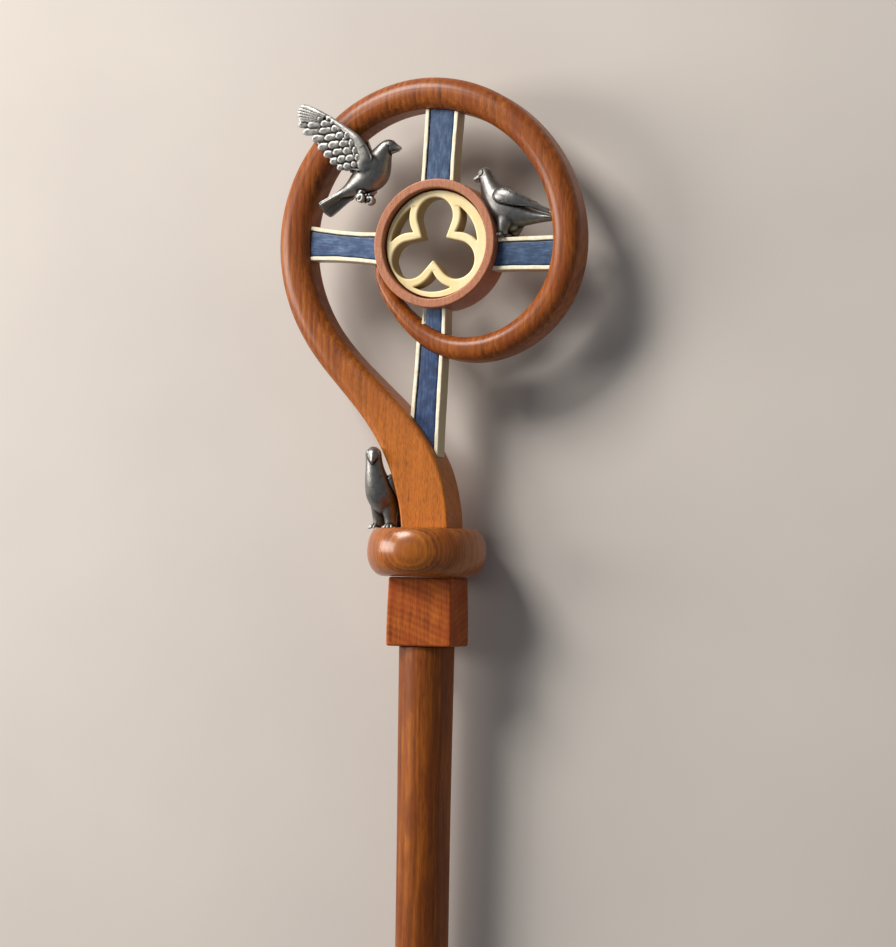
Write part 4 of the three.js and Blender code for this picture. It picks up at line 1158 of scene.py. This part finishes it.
def perched_dove():
    z0, floor = 1.0, 178.15
    soft = Clay()
    soft.loft([[78.2, 188.9, z0, 1.5, 4.8], [72, 189.4, z0, 2.7, 5.2], [65, 190.2, z0, 4.6, 6.2], [58, 191.6, z0, 7.4, 7.8], [51, 193.8, z0, 10.4, 9.6], [44.8, 198.0, z0, 11.2, 10.0],
               [40.4, 203.2, z0, 9.6, 9.0], [37.4, 208.2, z0, 7.2, 7.2], [35.4, 212.6, z0, 5.4, 5.6], [34.3, 215.6, z0, 4.7, 4.9], [33.0, 217.3, z0, 4.5, 4.7], [31.4, 217.5, z0, 3.8, 4.1],
               [29.8, 217.0, z0, 2.6, 2.8]], 110, 40)
    soft.ball((33.3, 217.4, z0), (4.7, 4.6, 4.6))
    # thighs
    soft.loft([[49.0, 193.0, z0 + 3.6, 6.0, 4.6], [48.2, 188.0, z0 + 4.6, 5.4, 4.4], [47.2, 183.5, z0 + 5.0, 3.8, 3.4], [46.6, 179.4, z0 + 5.0, 2.9, 2.7]], 30, 24)
    soft.loft([[52.8, 192.5, z0 - 1.8, 6.6, 4.8], [52.6, 187.5, z0 - 2.4, 6.2, 4.6], [51.8, 183.2, z0 - 2.8, 4.7, 3.8], [50.8, 179.4, z0 - 2.8, 3.4, 3.0]], 30, 24)
    soft.ball((50.5, 187.0, z0 + 1.0), (6.0, 6.0, 4.5))
    body = fused(soft, 0.6, 8, 0.5)
    c = Clay()
    absorb(c, body)
    face(c, (33.2, 217.4, z0), (-0.945, -0.325, 0.0), 4.7, 3.8, 2.8, eye=(0.30, 0.26), eye_r=1.3, drop=0.8)
    folded_wings(
        c, z0, [[42.6, 202.0, 2.6, 1.8], [45.6, 202.3, 4.6, 2.9], [50.0, 201.9, 5.1, 3.4], [55.5, 200.3, 4.3, 3.3], [61, 198.5, 2.9, 2.6], [66.6, 196.6, 1.9, 2.1],
                [71.4, 194.6, 1.5, 1.6], [76.0, 192.4, 0.9, 0.9]],
        [7.8, 8.6, 9.0, 8.7, 7.4, 5.6, 4.2, 3.3],
        ((62.0, 191.6), (79.6, 189.0), 2.6, 4.4, (0.1, 1.0)))
    foot(c, 47.0, floor, z0 + 5.2, (-0.6, 0.8), 0.62, 0.8)
    foot(c, 51.2, floor, z0 - 2.6, (-0.9, 0.5), 0.55, 0.95)
    me = fused(c, 0.30, 1, 0.35)
    co = coords(me)
    co[:, 1] = np.maximum(co[:, 1], floor)
    set_coords(me, co)
    return cast("Perched dove", me, "dove_perched")


def standing_dove():
    soft = Clay()
    soft.loft([[17.5, 3.6, 0, 1.8, 5.0], [13.0, 7.0, 0, 3.4, 6.0], [7.0, 11.6, 0, 6.2, 7.6], [1.0, 16.2, 0, 8.5, 8.8], [-3.8, 21.6, 0, 9.2, 9.2], [-7.0, 27.6, 0, 8.0, 8.0],
               [-9.2, 33.4, 0, 6.5, 6.5], [-10.4, 38.4, 0, 5.5, 5.5], [-11.1, 42.4, 0, 5.1, 5.1], [-11.7, 45.4, 0.2, 4.9, 4.9], [-13.0, 47.0, 0.8, 3.6, 3.8], [-14.4, 47.4, 1.4, 1.8, 2.0]], 110, 40)
    soft.ball((-11.9, 45.0, 0.5), (5.0, 4.9, 5.0))
    for s in (1, -1):
        soft.loft([[-0.5, 16.5, s * 3.6, 6.6, 5.4], [0.4, 11.0, s * 4.3, 5.6, 4.5], [0.8, 6.0, s * 4.6, 4.6, 3.7], [0.8, 1.6, s * 4.8, 4.0, 3.3]], 30, 24)
    soft.loft([[3.0, 17.0, 0, 6.0, 7.0], [9.0, 9.0, 0, 4.6, 6.4], [12.5, 4.4, 0, 3.4, 5.6], [15.0, 2.4, 0, 2.2, 5.0]], 30, 28)
    body = fused(soft, 0.6, 8, 0.5)
    c = Clay()
    absorb(c, body)
    face(c, (-11.9, 45.0, 0.5), (-0.82, -0.62, 0.46), 4.9, 3.2, 3.0, eye=(0.26, 0.50), eye_r=1.2, drop=0.8)
    folded_wings(
        c, 0.0, [[-5.0, 31.6, 2.2, 1.6], [-2.6, 29.6, 4.2, 2.6], [1.4, 25.6, 5.2, 3.0], [6.0, 20.2, 4.8, 3.0], [11.0, 14.4, 3.6, 2.5], [15.6, 9.0, 2.4, 2.0], [18.6, 5.4, 1.6, 1.6], [20.6, 3.0, 0.9, 0.9]],
        [6.6, 7.8, 8.6, 8.4, 7.0, 5.4, 4.4, 3.6],
        ((12.0, 9.0), (20.4, 2.6), 2.6, 4.4, (0.6, 0.8)))
    for s in (1, -1):
        foot(c, 0.0, GAP, s * 5.4, (-1, s * 0.25), 0.5, 0.95, hooked=0.6)
    me = fused(c, 0.30, 1, 0.35)
    turn = Matrix.Translation((-29.0, 0, 3.2)) @ Matrix.Rotation(math.radians(180 - 106), 4, "Y")
    me.transform(turn)
    co = coords(me)
    co[:, 1] = np.maximum(co[:, 1], knop_top_at(co[:, 0], co[:, 2]) + GAP)
    set_coords(me, co)
    return cast("Standing dove", me, "dove_standing")


flying_dove()
perched_dove()
standing_dove()


# ---------------------------------------------------------------- floor, light and camera
def floor_piece():
    me = bpy.data.meshes.new("floor")
    s = 9.0
    me.from_pydata([(-s, -s, 0), (s, -s, 0), (s, s, 0), (-s, s, 0)], [], [(0, 1, 2, 3)])
    ob = bpy.data.objects.new("Floor", me)
    bpy.context.scene.collection.objects.link(ob)
    p = Paint("pale_floor")
    n = p.noise(p.new("ShaderNodeTexCoord").outputs["Object"], 6.0, 3.0, 0.5)
    color = p.mix(p.span(n, 0.3, 0.7), srgb(196, 190, 185), srgb(202, 196, 190))
    me.materials.append(p.finish(color, 0.85))


def area(name, at, look, size, power, color=(1, 1, 1)):
    data = bpy.data.lights.new(name, "AREA")
    data.shape, data.size, data.size_y = "RECTANGLE", size[0], size[1]
    data.energy, data.color = power, color
    ob = bpy.data.objects.new(name, data)
    bpy.context.scene.collection.objects.link(ob)
    a, b = PLACE @ (Vector(at) * MM), PLACE @ (Vector(look) * MM)
    ob.matrix_world = Matrix.Translation(a) @ (b - a).to_track_quat("-Z", "Y").to_matrix().to_4x4()


floor_piece()
area("Key", (-1330, HEAD + 1960, 1760), (0, HEAD - 20, 0), (1.15, 1.15), 88, (1.0, 0.945, 0.88))
area("Side", (-1590, HEAD + 250, 860), (0, HEAD + 100, 0), (0.5, 1.1), 22, (1.0, 0.92, 0.85))
world = bpy.data.worlds.new("World")
world.use_nodes = True
world.node_tree.nodes["Background"].inputs[0].default_value = (0.90, 0.95, 1.0, 1)
world.node_tree.nodes["Background"].inputs[1].default_value = 0.20
bpy.context.scene.world = world

DISTANCE = 1500.0
AROUND, PITCH, YAW, ROLL = (math.radians(v) for v in (22.5, 2.738316, -0.412788, 1.07))
FOCAL, LONG_SIDE = 2443.0, 947.0


def to_crosier(v):                       # across, away, up -> the crosier's frame
    return Vector((v[0], v[2], -v[1]))


hx, hy = -math.sin(AROUND), math.cos(AROUND)
hx, hy = math.cos(YAW) * hx - math.sin(YAW) * hy, math.sin(YAW) * hx + math.cos(YAW) * hy
ahead = Vector((math.cos(PITCH) * hx, math.cos(PITCH) * hy, math.sin(PITCH)))
upward = Vector((-math.sin(PITCH) * hx, -math.sin(PITCH) * hy, math.cos(PITCH)))
across = Vector((hy, -hx, 0))
right = math.cos(ROLL) * across + math.sin(ROLL) * upward
upward = -math.sin(ROLL) * across + math.cos(ROLL) * upward
eye = to_crosier((DISTANCE * math.sin(AROUND), -DISTANCE * math.cos(AROUND), 0)) + Vector((0, KNOP_TOP - 37.4, 0))
axes = [TURN.to_3x3() @ to_crosier(v) for v in (right, upward, -ahead)]
camera = bpy.data.cameras.new("Camera")
camera.sensor_fit, camera.sensor_height, camera.sensor_width = "VERTICAL", 36.0, 36.0
camera.lens = FOCAL / LONG_SIDE * 36.0
camera.clip_start, camera.clip_end = 0.02, 50.0
cam = bpy.data.objects.new("Camera", camera)
bpy.context.scene.collection.objects.link(cam)
cam.matrix_world = Matrix.Translation(PLACE @ (eye * MM)) @ Matrix([[a[i] for a in axes] for i in range(3)]).to_4x4()
bpy.context.scene.camera = cam
bpy.context.scene.view_settings.view_transform = "Standard"
